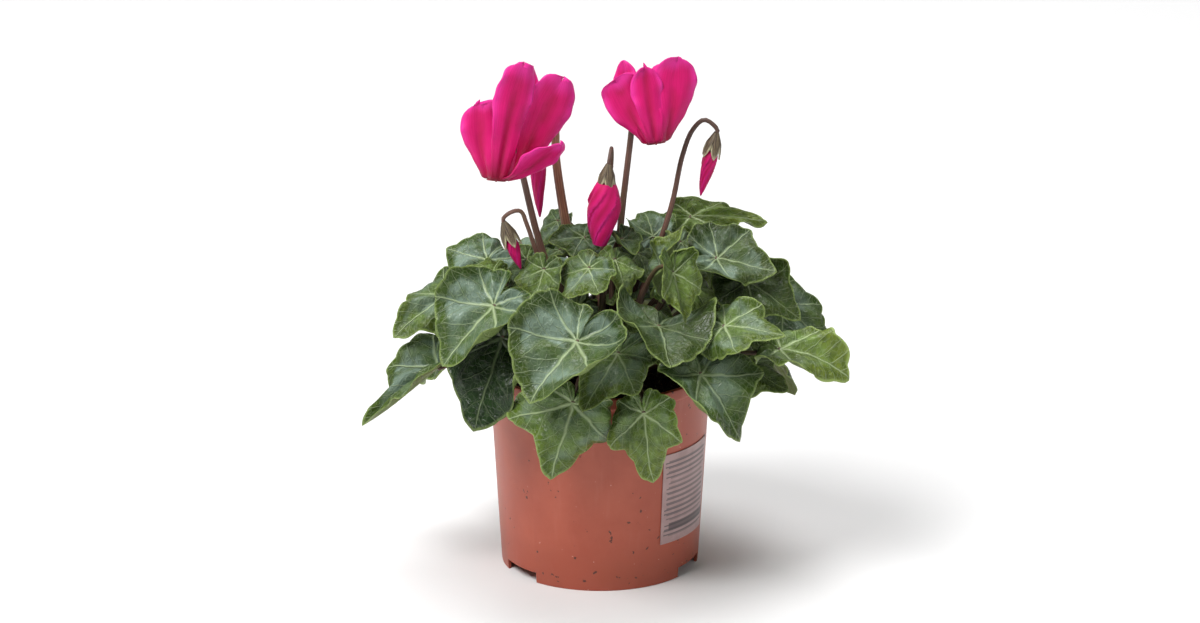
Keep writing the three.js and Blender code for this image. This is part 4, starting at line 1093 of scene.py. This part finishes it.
def crumb_tree(material):
    """Crumbs strewn over the upper side of a mesh, joined to it."""
    tree = bpy.data.node_groups.new("strewn_crumbs", "GeometryNodeTree")
    tree.is_modifier = True
    kinds = {"Size": "NodeSocketFloat", "Per square metre": "NodeSocketFloat", "Seed": "NodeSocketInt"}
    tree.interface.new_socket("Geometry", in_out="INPUT", socket_type="NodeSocketGeometry")
    for name, kind in kinds.items():
        tree.interface.new_socket(name, in_out="INPUT", socket_type=kind)
    tree.interface.new_socket("Geometry", in_out="OUTPUT", socket_type="NodeSocketGeometry")

    def node(kind, inputs, **settings):
        return add_node(tree, kind, inputs, **settings)

    given = tree.nodes.new("NodeGroupInput").outputs
    upward = node("ShaderNodeSeparateXYZ", {0: node("GeometryNodeInputNormal", {}).outputs[0]}).outputs[2]
    faces_up = node("FunctionNodeCompare", {0: upward, 1: 0.6}, operation="GREATER_THAN").outputs[0]
    spots = node(
        "GeometryNodeDistributePointsOnFaces",
        {"Mesh": given["Geometry"], "Selection": faces_up, "Density": given["Per square metre"],
         "Seed": given["Seed"]},
    ).outputs["Points"]
    crumb = node("GeometryNodeMeshIcoSphere", {"Radius": given["Size"], "Subdivisions": 1}).outputs["Mesh"]
    whole_turn = (6.3, 6.3, 6.3)
    spin = node(
        "FunctionNodeRandomValue",
        {1: whole_turn, "Seed": given["Seed"]},
        data_type="FLOAT_VECTOR",
    )
    size = node("FunctionNodeRandomValue", {2: 0.25, 3: 1.0, "Seed": given["Seed"]}, data_type="FLOAT")
    strewn = node(
        "GeometryNodeInstanceOnPoints",
        {"Points": spots, "Instance": crumb, "Rotation": spin.outputs[0], "Scale": size.outputs[1]},
    ).outputs[0]
    real = node("GeometryNodeRealizeInstances", {0: strewn}).outputs[0]
    place = node("GeometryNodeInputPosition", {}).outputs[0]
    rough = node("ShaderNodeTexNoise", {"Vector": place, "Scale": 700.0, "Detail": 2.0}).outputs["Color"]
    rough = node("ShaderNodeVectorMath", {0: rough, 1: (0.5, 0.5, 0.5)}, operation="SUBTRACT").outputs[0]
    push = node("ShaderNodeVectorMath", {0: rough, 1: CRUMB_UNEVENNESS}, operation="MULTIPLY")
    uneven = node("GeometryNodeSetPosition", {"Geometry": real, "Offset": push.outputs[0]}).outputs[0]
    both = tree.nodes.new("GeometryNodeJoinGeometry")
    tree.links.new(given["Geometry"], both.inputs[0])
    tree.links.new(uneven, both.inputs[0])
    painted = node("GeometryNodeSetMaterial", {"Geometry": both.outputs[0], "Material": material})
    tree.links.new(painted.outputs[0], tree.nodes.new("NodeGroupOutput").inputs[0])
    return tree


def grow_from(piece, tree, values):
    """Runs a tree on the piece and keeps what it makes as a plain mesh."""
    modifier = piece.modifiers.new(tree.name, "NODES")
    modifier.node_group = tree
    for item in tree.interface.items_tree:
        if item.in_out == "INPUT" and item.name in values:
            modifier[item.identifier] = values[item.name]
    bpy.context.view_layer.update()
    keep_result(piece)


def make_soil():
    floor_top = FLOOR_HEIGHT + FLOOR_THICKNESS
    pad_inside = PAD_RADIUS - FLOOR_THICKNESS - 2 * SEAT_GAP
    wall_inside = pot_radius(SOIL_HEIGHT) - POT_WALL - WALL_GAP
    low_inside = pot_radius(floor_top) - POT_WALL - WALL_GAP
    sides = 96
    form = Form()
    profile = [(pad_inside, FLOOR_THICKNESS + SEAT_GAP), (pad_inside + PAD_SLOPE, floor_top + SEAT_GAP)]
    profile += [(low_inside, floor_top + SEAT_GAP), (wall_inside, SOIL_HEIGHT - 1)]
    profile += [(radius, SOIL_HEIGHT) for radius in (wall_inside - 0.2, *range(41, 8, -2))]
    rings = []
    for radius, height in profile:
        ring = []
        for i in range(sides):
            angle = 2 * math.pi * i / sides
            spot = Vector((radius * math.cos(angle), radius * math.sin(angle), height))
            if height >= SOIL_HEIGHT - 1:
                lumps = noise.fractal(spot * 0.16, 1.0, 2.0, 4)
                spot.z += 0.9 * lumps + 1.2 * float(smooth(42, 24, radius))
            ring.append(spot)
        rings.append(ring)
    ends = ((0, 0, FLOOR_THICKNESS + SEAT_GAP), (0, 0, SOIL_HEIGHT))
    form.body(rings, np.zeros((len(rings), sides, 2)), "soil", ends)
    soil = form.make("soil_peat")
    values = {"Size": CRUMB_SIZE, "Per square metre": CRUMBS_PER_SQUARE_METRE, "Seed": CRUMB_SEED}
    grow_from(soil, crumb_tree(FINISHES["soil"]), values)
    finish_piece(soil, "soil", "soil")


def make_tuber():
    rows = 26
    sides = 56
    rings = []
    for k in range(1, rows):
        polar = math.pi * k / rows
        ring = []
        for i in range(sides):
            angle = 2 * math.pi * i / sides
            out = math.sin(polar)
            way = Vector((out * math.cos(angle), out * math.sin(angle), -math.cos(polar)))
            rise = 0.35 * noise.fractal(way * 5, 1.0, 2.0, 4) + 0.1
            spot = Vector((way.x * (TUBER_RADIUS + rise), way.y * (TUBER_RADIUS + rise), 0))
            spot.z = TUBER_CENTRE + way.z * (TUBER_HALF_HEIGHT + rise)
            ring.append(spot)
        rings.append(ring)
    form = Form()
    ends = ((0, 0, TUBER_CENTRE - TUBER_HALF_HEIGHT), (0, 0, TUBER_CENTRE + TUBER_HALF_HEIGHT))
    form.body(rings, np.zeros((len(rings), sides, 2)), "tuber", ends)
    finish_piece(form.make("tuber_body"), "tuber", "tuber")


# The leaves

def crown_point(x, y, depth):
    """The point over a place of the plan that lies this deep under the tuber's skin."""
    clearance = 0.65
    share = math.hypot(x, y) / (TUBER_RADIUS + clearance)
    height = (TUBER_HALF_HEIGHT + clearance) * math.sqrt(1 - share**2)
    way = unit((x / TUBER_RADIUS**2, y / TUBER_RADIUS**2, height / TUBER_HALF_HEIGHT**2))
    return np.array((x, y, TUBER_CENTRE + height)) - (clearance + depth) * way


def leaf_length(leaf):
    return float(np.linalg.norm(np.subtract(leaf.tip, leaf.at)))


def leaf_axes(leaf):
    """Axes of a blade: to its tip, to its side, and out of its upper face."""
    tip = unit(np.subtract(leaf.tip, leaf.at))
    upright = unit(np.array((0, 0, 1)) - tip[2] * tip)
    normal = turned_about(upright, tip, -math.radians(leaf.roll))
    side = np.cross(normal, tip)
    return np.array((tip, side, normal))


def outline_radius(leaf, degrees, teeth):
    """The outline's radius, as a share of the blade's length, with its lobes and its toothed edge."""
    turn = np.abs(degrees)
    lobed = through(*zip(*OUTLINE), turn)
    plain = through(*zip(*ROUND_OUTLINE), turn)
    radius = plain + leaf.lobes * (lobed - plain)
    radius = radius * (1 - (1 - leaf.back) * smooth(80, 140, turn))
    uneven = 9 * np.sin(np.radians(3 * degrees + 2 * teeth))
    tooth = np.abs(np.sin(np.radians(0.5 * TEETH * degrees + teeth + uneven))) ** 0.7
    calm = smooth(176, 160, turn) * smooth(0, 9, turn)
    return radius * (1 + TOOTH_DEPTH * (0.6 + leaf.young) * (tooth - 0.7) * calm)


def blade_points(leaf, shares, degrees, depth, phase, extra):
    """Points of the blade in its own base: x to the tip and z out of its upper face."""
    length = leaf_length(leaf)
    draw = random.Random(extra)
    uneven = 1 + 0.03 * np.sin(np.radians(2 * degrees + draw.uniform(0, 360)))
    outline = outline_radius(leaf, degrees, draw.uniform(0, 180)) * length * uneven
    curl = np.full_like(degrees, 0.05)
    for at, spread, turning in leaf.curls:
        apart = (degrees - at + 180) % 360 - 180
        curl = curl + math.radians(turning) * np.exp(-((apart / spread) ** 2))
    rolled = curl * np.maximum(shares - CURL_START, 0) / (1 - CURL_START)
    bend = (1 - CURL_START) * outline / curl
    radius = np.minimum(shares, CURL_START) * outline + (bend + depth) * np.sin(rolled)
    along = radius * np.cos(np.radians(degrees))
    across = leaf.wide * radius * np.sin(np.radians(degrees))
    waves = np.sin(np.radians(3 * degrees + phase)) + 0.5 * np.sin(np.radians(5 * degrees + 2 * phase))
    wave = leaf.wave * length * shares**3 * waves + leaf.cup * length * shares**2
    ripples = np.sin(np.radians(FRILLS * degrees + draw.uniform(0, 360)))
    ripples = ripples + 0.6 * np.sin(np.radians(1.6 * FRILLS * np.abs(degrees) + draw.uniform(0, 360)))
    frill = FRILL_HEIGHT * (0.6 + leaf.young) * length * shares**4 * ripples
    ray = np.interp(np.abs(degrees), VEIN_ANGLES, VEIN_RAYS)
    quilt = QUILTING * length * np.sin(np.pi * ray) ** 2
    quilt = quilt * smooth(0.1, 0.5, shares) * smooth(1.05, 0.75, shares)
    arch = math.radians(leaf.arch or 1) / length
    droop = math.radians(leaf.droop or 1) / length
    raised = leaf.fold * np.abs(across) + wave + frill + quilt + bend - (bend + depth) * np.cos(rolled)
    lift = raised - (1 - np.cos(arch * across)) / arch
    points = np.stack(
        [
            (1 / droop + lift) * np.sin(droop * along),
            np.sin(arch * across) / arch + 0 * lift,
            (1 / droop + lift) * np.cos(droop * along) - 1 / droop,
        ],
        axis=-1,
    )
    plan = shares * outline * np.stack([np.cos(np.radians(degrees)), np.sin(np.radians(degrees))])
    return points, np.moveaxis(plan, 0, -1) / length


def leaf_root(leaf, end):
    """Where a stem starts on the tuber: a place of its own, or on the side of its leaf."""
    if leaf.root:
        return crown_point(*leaf.root, ROOT_DEPTH)
    azimuth = math.atan2(end[1], end[0]) + math.radians(leaf.swing)
    elevation = math.atan2(end[2] - TUBER_CENTRE, math.hypot(end[0], end[1]))
    out = ROOT_CIRCLE * math.cos(elevation) ** 0.6
    return crown_point(out * math.cos(azimuth), out * math.sin(azimuth), ROOT_DEPTH)


def leaf_stem_path(leaf, axes, steps):
    """A curve that rises out of the tuber and comes up under the blade's joint."""
    tip, _, normal = axes
    end = np.array(leaf.at) - 0.35 * normal
    root = leaf_root(leaf, end)
    reach = float(np.linalg.norm(end - root))
    outward = end - root
    outward[2] = 0
    outward = unit(outward)
    elevation = math.asin((end[2] - root[2]) / reach)
    rise = math.radians(STEM_RISE) + (90 - STEM_RISE) / 90 * elevation
    leave = outward * math.cos(rise) + np.array((0, 0, math.sin(rise)))
    arrive = -0.7 * normal - 0.6 * tip + np.array((0, 0, 0.25))
    a, b, c, d = root, root + 0.4 * reach * leave, end + 0.3 * reach * arrive, end
    t = np.linspace(0, 1, steps)[:, None]
    return (1 - t) ** 3 * a + 3 * t * (1 - t) ** 2 * b + 3 * t * t * (1 - t) * c + t**3 * d


def make_leaf(leaf, name, place, *nodes):
    """A blade of two skins and its rim, with its stem."""
    form = Form()
    axes = leaf_axes(leaf)
    phase = 137 * place
    degrees = np.linspace(-180, 180, BLADE_COLUMNS, endpoint=False)[None, :]
    shares = np.array(BLADE_SHARES)[:, None]
    depth = BLADE_THICKNESS + (RIM_THICKNESS - BLADE_THICKNESS) * shares**3
    upper, plan = blade_points(leaf, shares, degrees, 0, phase, place)
    lower, plan_below = blade_points(leaf, shares, degrees, depth, phase, place)
    bulge = 1 + 0.4 * RIM_THICKNESS / leaf_length(leaf)
    edge, plan_edge = blade_points(leaf, shares[-1:] * bulge, degrees, RIM_THICKNESS / 2, phase, place)
    rows = np.concatenate([upper, edge, lower[::-1]])
    plans = np.concatenate([plan, plan_edge, plan_below[::-1]])
    row_shares = np.concatenate([shares, [[1]], shares[::-1]])
    row_unders = np.concatenate([0 * shares, [[0.5]], 1 + 0 * shares])
    spread = np.ones((1, BLADE_COLUMNS))
    base = (axes, leaf.at)
    ends = moved([(0, 0, 0), (0, 0, -BLADE_THICKNESS)], base)
    form.body(moved(rows, base), plans, "blade", ends, end_under=1,
              shares=row_shares * spread, unders=row_unders * spread)
    steps = 26
    t = np.linspace(0, 1, steps)
    radii = LEAF_STEM_RADIUS * (1.25 - 0.45 * t + 0.25 * smooth(0.93, 1, t))
    tube(form, leaf_stem_path(leaf, axes, steps), radii, 9, "leaf_stem")
    piece = form.make(name, looks=(leaf.silver, leaf.young, leaf.deep))
    finish_piece(piece, "leaf", *nodes)


def far_leaf(turn, out, height, length, dip, root, draw):
    """A leaf of the far side, from its row in the table."""
    turn = math.radians(turn)
    dip = math.radians(dip)
    at = out * pointing(turn) + (0, 0, height)
    leaf = Leaf(tuple(at), tuple(at + length * pointing(turn, dip)), root=root)
    leaf.lobes = draw.uniform(0.4, 1)
    leaf.silver = draw.uniform(0.3, 0.9)
    leaf.young = draw.uniform(0.1, 0.6)
    leaf.deep = draw.uniform(0.3, 0.9)
    return leaf


def crown_leaf(place, draw):
    """A small young leaf: the first ones stand behind the crown, the others low between the stems."""
    turn = math.radians(GOLDEN_ANGLE * place + draw.uniform(-20, 20))
    dip = math.radians(draw.uniform(-10, 45))
    inner = place - len(BACK_LEAVES)
    out = CROWN_REACH * math.sqrt(max(inner + 0.5, 0) / CROWN_LEAVES)
    length = draw.uniform(16, 21)
    at = out * pointing(turn) + (0, 0, draw.uniform(102, 116) - 0.25 * out)
    ends = BACK_LEAVES[place] if inner < 0 else (tuple(at), tuple(at + length * pointing(turn, dip)))
    leaf = Leaf(*ends, roll=draw.uniform(-30, 30))
    leaf.wave = 0.12
    leaf.curls = ((draw.choice((-80, 80)), 45, draw.uniform(40, 100)),)
    leaf.silver = draw.uniform(0, 0.5)
    leaf.young = draw.uniform(0.3, 1)
    leaf.deep = draw.uniform(0.4, 1)
    return leaf


# The flowers

def flower_axes(faces):
    """Axes of a flower, with z from its mouth to its stalk."""
    upward = -unit(faces)
    across = unit(np.cross((0, 1, 0), upward))
    back = np.cross(upward, across)
    return np.array((across, back, upward))


def turned_about(vector, axis, angle):
    """The vector turned by an angle about an axis."""
    across = np.cross(axis, vector) * math.sin(angle)
    along = axis * np.dot(axis, vector) * (1 - math.cos(angle))
    return vector * math.cos(angle) + across + along


def petal_ways(petal, share):
    """Which way a petal runs at a share of its length, and which way its width lies there."""
    turn = math.radians(petal.angle)
    outward = pointing(turn)
    sideways = pointing(turn + math.pi / 2)
    first = PETAL_STARTS + (petal.fold - PETAL_STARTS) * smooth(0, 0.1, share)
    bend = math.radians(first + (petal.ends - petal.fold) * smooth(0.1, 0.6, share))
    lean = math.radians(petal.lean * smooth(0, 1, share))
    straight = outward * math.sin(bend) - np.array((0, 0, math.cos(bend)))
    onward = straight * math.cos(lean) + sideways * math.sin(lean)
    across = sideways * math.cos(lean) - straight * math.sin(lean)
    return onward, turned_about(across, onward, math.radians(petal.twist * smooth(0.05, 0.6, share)))


def petal_grid(petal, depth, seed, rows=34, columns=19):
    """Rows of points over one face of a petal, in the flower's own base, and their places on it."""
    draw = random.Random(seed)
    ruffle = [draw.uniform(0, 6.28) for _ in range(3)]
    shares = 1 - (1 - np.linspace(0, 1, rows)) ** 1.35
    places = np.linspace(-1, 1, columns)
    cup = math.radians(PETAL_CUP) / petal.width
    centre = pointing(math.radians(petal.angle)) * (MOUTH_RADIUS - PETAL_INSET) + (0, 0, 1)
    last = 0
    points = []
    for share in shares:
        centre = centre + petal_ways(petal, (share + last) / 2)[0] * petal.length * (share - last)
        last = share
        onward, across = petal_ways(petal, share)
        inside = np.cross(onward, across)
        late = min(1, max(0, (share - petal.late) / (1 - petal.late)))
        end = max((1 - late**petal.blunt) ** (1 / petal.blunt), 0.02)
        full = float(smooth(0, petal.full, share))
        half = 0.5 * petal.width * (PETAL_FOOT_WIDTH + (1 - PETAL_FOOT_WIDTH) * full) * end
        way = share * petal.length
        row = []
        for place in places:
            offset = half * place
            side = abs(place) ** 2.5 * share
            other_side = 2 if place > 0 else 0
            frill = math.sin(0.34 * way + ruffle[0] + other_side) + 0.4 * math.sin(0.9 * way + ruffle[1])
            sink = (1 - math.cos(cup * offset)) / cup + depth + PETAL_FRILL * side * frill
            groove = math.exp(-(((place - 0.15 * math.sin(ruffle[0])) / GROOVE_WIDTH) ** 2))
            sink += PETAL_GROOVE * groove * float(smooth(0, 0.2, share)) * (1 - 0.7 * share)
            sink -= PETAL_RIBS * math.cos(4 * place + ruffle[2]) * share * (1 - 0.6 * share)
            tilt = math.tan(math.radians(petal.slant)) * offset * float(smooth(0.3, 1, share))
            nick = PETAL_NICKS[0] * math.sin(4 * place + ruffle[1])
            nick += PETAL_NICKS[1] * math.sin(9 * place + ruffle[2])
            tilt += nick * float(smooth(0.6, 1, share))
            row.append(centre + math.sin(cup * offset) / cup * across + sink * inside + tilt * onward)
        points.append(row)
    return np.array(points), net_places(places, shares)


def make_corolla(bloom, number):
    """A flower's short tube with its throat, style and anthers, and its petals."""
    form = Form()
    base = (flower_axes(bloom.faces), bloom.mouth)
    lip = 0.45
    throat = TUBE_RADIUS - 0.7
    profile = [
        (0, THROAT_DEPTH),
        (throat * 0.8, THROAT_DEPTH),
        (throat, THROAT_DEPTH - 0.6),
        (throat, 1.6),
        (MOUTH_RADIUS - lip, 0.3),
        (MOUTH_RADIUS - 0.2, 0),
        (MOUTH_RADIUS + 0.25, 0.25),
        (MOUTH_RADIUS, 1.1),
        (TUBE_RADIUS, 2.6),
        (TUBE_RADIUS, TUBE_LENGTH - 1),
        (TUBE_RADIUS * 0.7, TUBE_LENGTH),
        (0, TUBE_LENGTH),
    ]
    turned(form, profile, 40, "throat", base)
    style = [(0, -0.4), (0.3, -0.3), (0.35, 0), (0.3, 4)]
    style += [(0.3, THROAT_DEPTH + 0.3), (0, THROAT_DEPTH + 0.4)]
    turned(form, style, 10, "throat", base)
    for i in range(5):
        out = pointing(2 * math.pi * i / 5)
        foot = 1.3 * out + (0, 0, THROAT_DEPTH + 0.2)
        head = 0.85 * out + (0, 0, 1.2)
        path = moved(np.linspace(foot, head, len(ANTHER_RADII)), base)
        tube(form, path, ANTHER_RADII, 8, "anther")
    for i, petal in enumerate(bloom.petals):
        outer, plan = petal_grid(petal, 0, 10 * number + i)
        inner, plan = petal_grid(petal, PETAL_THICKNESS, 10 * number + i)
        form.sheet(moved(outer, base), moved(inner, base), plan, "petal")
    finish_piece(form.make(f"bloom_{number}_corolla"), "petal", f"bloom_{number}_petals")


def stalk_path(flower, seat, axis, steps):
    """A stalk from the tuber through its points, which hooks over into the calyx."""
    top = seat + (CALYX_LENGTH - 1) * axis
    knots = [crown_point(*flower.root, ROOT_DEPTH), *flower.along, top + 2 * axis, top]
    knots = np.array(knots, float)
    at = steps_along(knots, 0.5)
    points = through(at, knots, np.linspace(0, at[-1], 8 * steps))
    lengths = steps_along(points)
    wanted = np.linspace(0, lengths[-1], steps)
    return np.stack([np.interp(wanted, lengths, points[:, k]) for k in range(3)], axis=1)


def add_sepals(form, axes, seat):
    """Five pointed sepals that overlap at the stalk and spread a little at their tips."""
    rows, columns = 16, 9
    shares = np.linspace(0, 1, rows)
    places = np.linspace(-1, 1, columns)
    radius = np.interp(shares, SEPAL_SHARES, SEPAL_RADII)
    height = CALYX_LENGTH * (1 - 1.42 * shares**0.9)
    half = np.radians(SEPAL_HALF_ANGLE) * (1 - shares**2.6) + 0.02
    plan = net_places(places, shares)
    bowed = 0.14 * places[None, :] - 0.25 * places[None, :] ** 2 * shares[:, None]
    for i in range(5):
        angle = 2 * math.pi * i / 5 + half[:, None] * places[None, :]
        skins = []
        for depth in (0, SEPAL_THICKNESS):
            reach = radius[:, None] - depth + bowed
            up = np.broadcast_to(height[:, None], reach.shape)
            points = np.stack([reach * np.cos(angle), reach * np.sin(angle), up], axis=-1)
            skins.append(moved(points, (axes, seat))[:, ::-1])
        form.sheet(*skins, plan[:, ::-1], "sepal")
    core = [(0, 0.2), (TUBE_RADIUS * 0.9, 0.3), (TUBE_RADIUS * 0.85, 2.5), (1.2, CALYX_LENGTH - 1.2)]
    core += [(0, CALYX_LENGTH - 1)]
    turned(form, core, 20, "sepal", (axes, seat))


def make_stalk(flower, axes, seat, name, steps=72):
    """The stalk of a flower or a bud, with its sepals."""
    finish = "thick_stalk" if flower.stalk[0] > THICK_STALK else "stalk"
    form = Form()
    path = stalk_path(flower, np.array(seat), axes[2], steps)
    t = np.linspace(0, 1, steps)
    radii = flower.stalk[0] + (flower.stalk[1] - flower.stalk[0]) * t
    radii = radii * (1 + 0.25 * smooth(0.04, 0, t))
    tube(form, path, radii, 12, finish)
    add_sepals(form, axes, seat)
    finish_piece(form.make(f"{name}_stem"), "stalk", f"{name}_stalk")


def make_bud_petals(bud, number):
    """Five closed petals wound round each other."""
    axes = flower_axes(np.subtract(bud.tip, bud.top))
    length = float(np.linalg.norm(np.subtract(bud.tip, bud.top)))
    rows, sides = 34, 60
    shares = np.linspace(0, 1, rows)
    girth = through(BUD_SHARES, bud.shape, shares)
    angles = round_angles(sides)
    rings = []
    plans = []
    for share, width in zip(shares, girth):
        wound = angles + BUD_WINDING * share
        part = (wound * 5 / (2 * np.pi)) % 1
        petal_here = np.floor(wound * 5 / (2 * np.pi)) % 5
        step = 0.14 + 0.16 * np.sin(2.3 * petal_here + number) ** 2
        step = step * smooth(0, 0.25, share) * (1 - 0.4 * share)
        reach = bud.girth * width * (1 - step + step * part**0.6)
        bulge = 1 + 0.07 * np.sin(2 * angles + 3 * share) + 0.03 * np.sin(7 * share + 3 * angles)
        reach = reach * bulge
        depth = np.full(sides, -length * share)
        rings.append(np.stack([reach * np.cos(angles), reach * np.sin(angles), depth], axis=-1))
        plans.append(np.stack([2 * part - 1, 0.3 + 0.6 * share + 0 * part], axis=-1))
    form = Form()
    base = (axes, bud.top)
    rings = moved(np.array(rings)[:, ::-1], base)
    ends = moved([(0, 0, 0.1), (0, 0, -length - 0.3)], base)
    form.body(rings, np.array(plans)[:, ::-1], "petal", ends, ((0, 0.3), (0, 1)))
    finish_piece(form.make(f"bud_{number}_wound", sharp=60), "petal", f"bud_{number}_petals")


# The camera, the lights and the floor, in metres

CAMERA_PLACE = (0, -2.6786, 1.0375)
CAMERA_AIM = (0.0, 0, 0.103)
LENS = 216
SENSOR_WIDTH = 36
LIGHT_AIM = (0, 0, 0.11)
# Name, place, size and watts
LIGHTS = (
    ("key", (-1.1, -1.0, 2.0), (1.2, 1.1), 60),
    ("fill", (1.6, -1.6, 1.1), (1.4, 1.2), 7),
    ("top", (0.1, 0.5, 2.0), (1.4, 1.4), 34),
)
WORLD_STRENGTH = 0.15
FLOOR_HALF_WIDTH = 4


def aim(thing, at):
    way = Vector(at) - thing.location
    thing.rotation_euler = way.to_track_quat("-Z", "Y").to_euler()


def add_light(name, place, size, watts):
    data = bpy.data.lights.new(name, "AREA")
    data.shape = "RECTANGLE"
    data.size, data.size_y = size
    data.energy = watts
    light = add_object(name, data)
    light.location = place
    aim(light, LIGHT_AIM)


def make_studio():
    scene = bpy.context.scene
    data = bpy.data.cameras.new("camera")
    data.lens = LENS
    data.sensor_width = SENSOR_WIDTH
    data.clip_end = 50
    camera = add_object("camera", data)
    camera.location = CAMERA_PLACE
    aim(camera, CAMERA_AIM)
    scene.camera = camera

    for light in LIGHTS:
        add_light(*light)

    world = bpy.data.worlds.new("studio")
    world.use_nodes = True
    background = world.node_tree.nodes["Background"]
    background.inputs["Color"].default_value = (1, 1, 1, 1)
    background.inputs["Strength"].default_value = WORLD_STRENGTH
    scene.world = world
    scene.view_settings.view_transform = "Standard"

    floor_mesh = bpy.data.meshes.new("floor")
    size = FLOOR_HALF_WIDTH
    corners = [(-size, -size, 0), (size, -size, 0), (size, size, 0), (-size, size, 0)]
    floor_mesh.from_pydata(corners, [], [(0, 1, 2, 3)])
    paint = Paint("floor_pale", Roughness=0.7, Base_Color=(0.8, 0.8, 0.8, 1))
    floor_mesh.materials.append(paint.material)
    floor = add_object("floor", floor_mesh)


make_studio()
make_pot()
make_sticker()
make_soil()
make_tuber()

far_draw = random.Random(8)
leaves = SHOWN_LEAVES + [far_leaf(*entry, far_draw) for entry in FAR_LEAVES] + INNER_LEAVES
for place, leaf in enumerate(leaves):
    node = f"leaf_{place + 1:02d}"
    make_leaf(leaf, f"{node}_blade", place, node)

crown_draw = random.Random(21)
for place in range(len(BACK_LEAVES) + CROWN_LEAVES):
    leaf = crown_leaf(place, crown_draw)
    make_leaf(leaf, f"crown_leaf_{place + 1:02d}", 60 + place)

for number, bloom in enumerate(BLOOMS, 1):
    make_corolla(bloom, number)
    bloom_axes = flower_axes(bloom.faces)
    bloom_seat = np.array(bloom.mouth) + (TUBE_LENGTH + SEAT_GAP) * bloom_axes[2]
    make_stalk(bloom, bloom_axes, bloom_seat, f"bloom_{number}")

for number, bud in enumerate(BUDS, 1):
    make_bud_petals(bud, number)
    bud_axes = flower_axes(np.subtract(bud.tip, bud.top))
    bud_seat = np.array(bud.top) + SEAT_GAP * bud_axes[2]
    make_stalk(bud, bud_axes, bud_seat, f"bud_{number}")
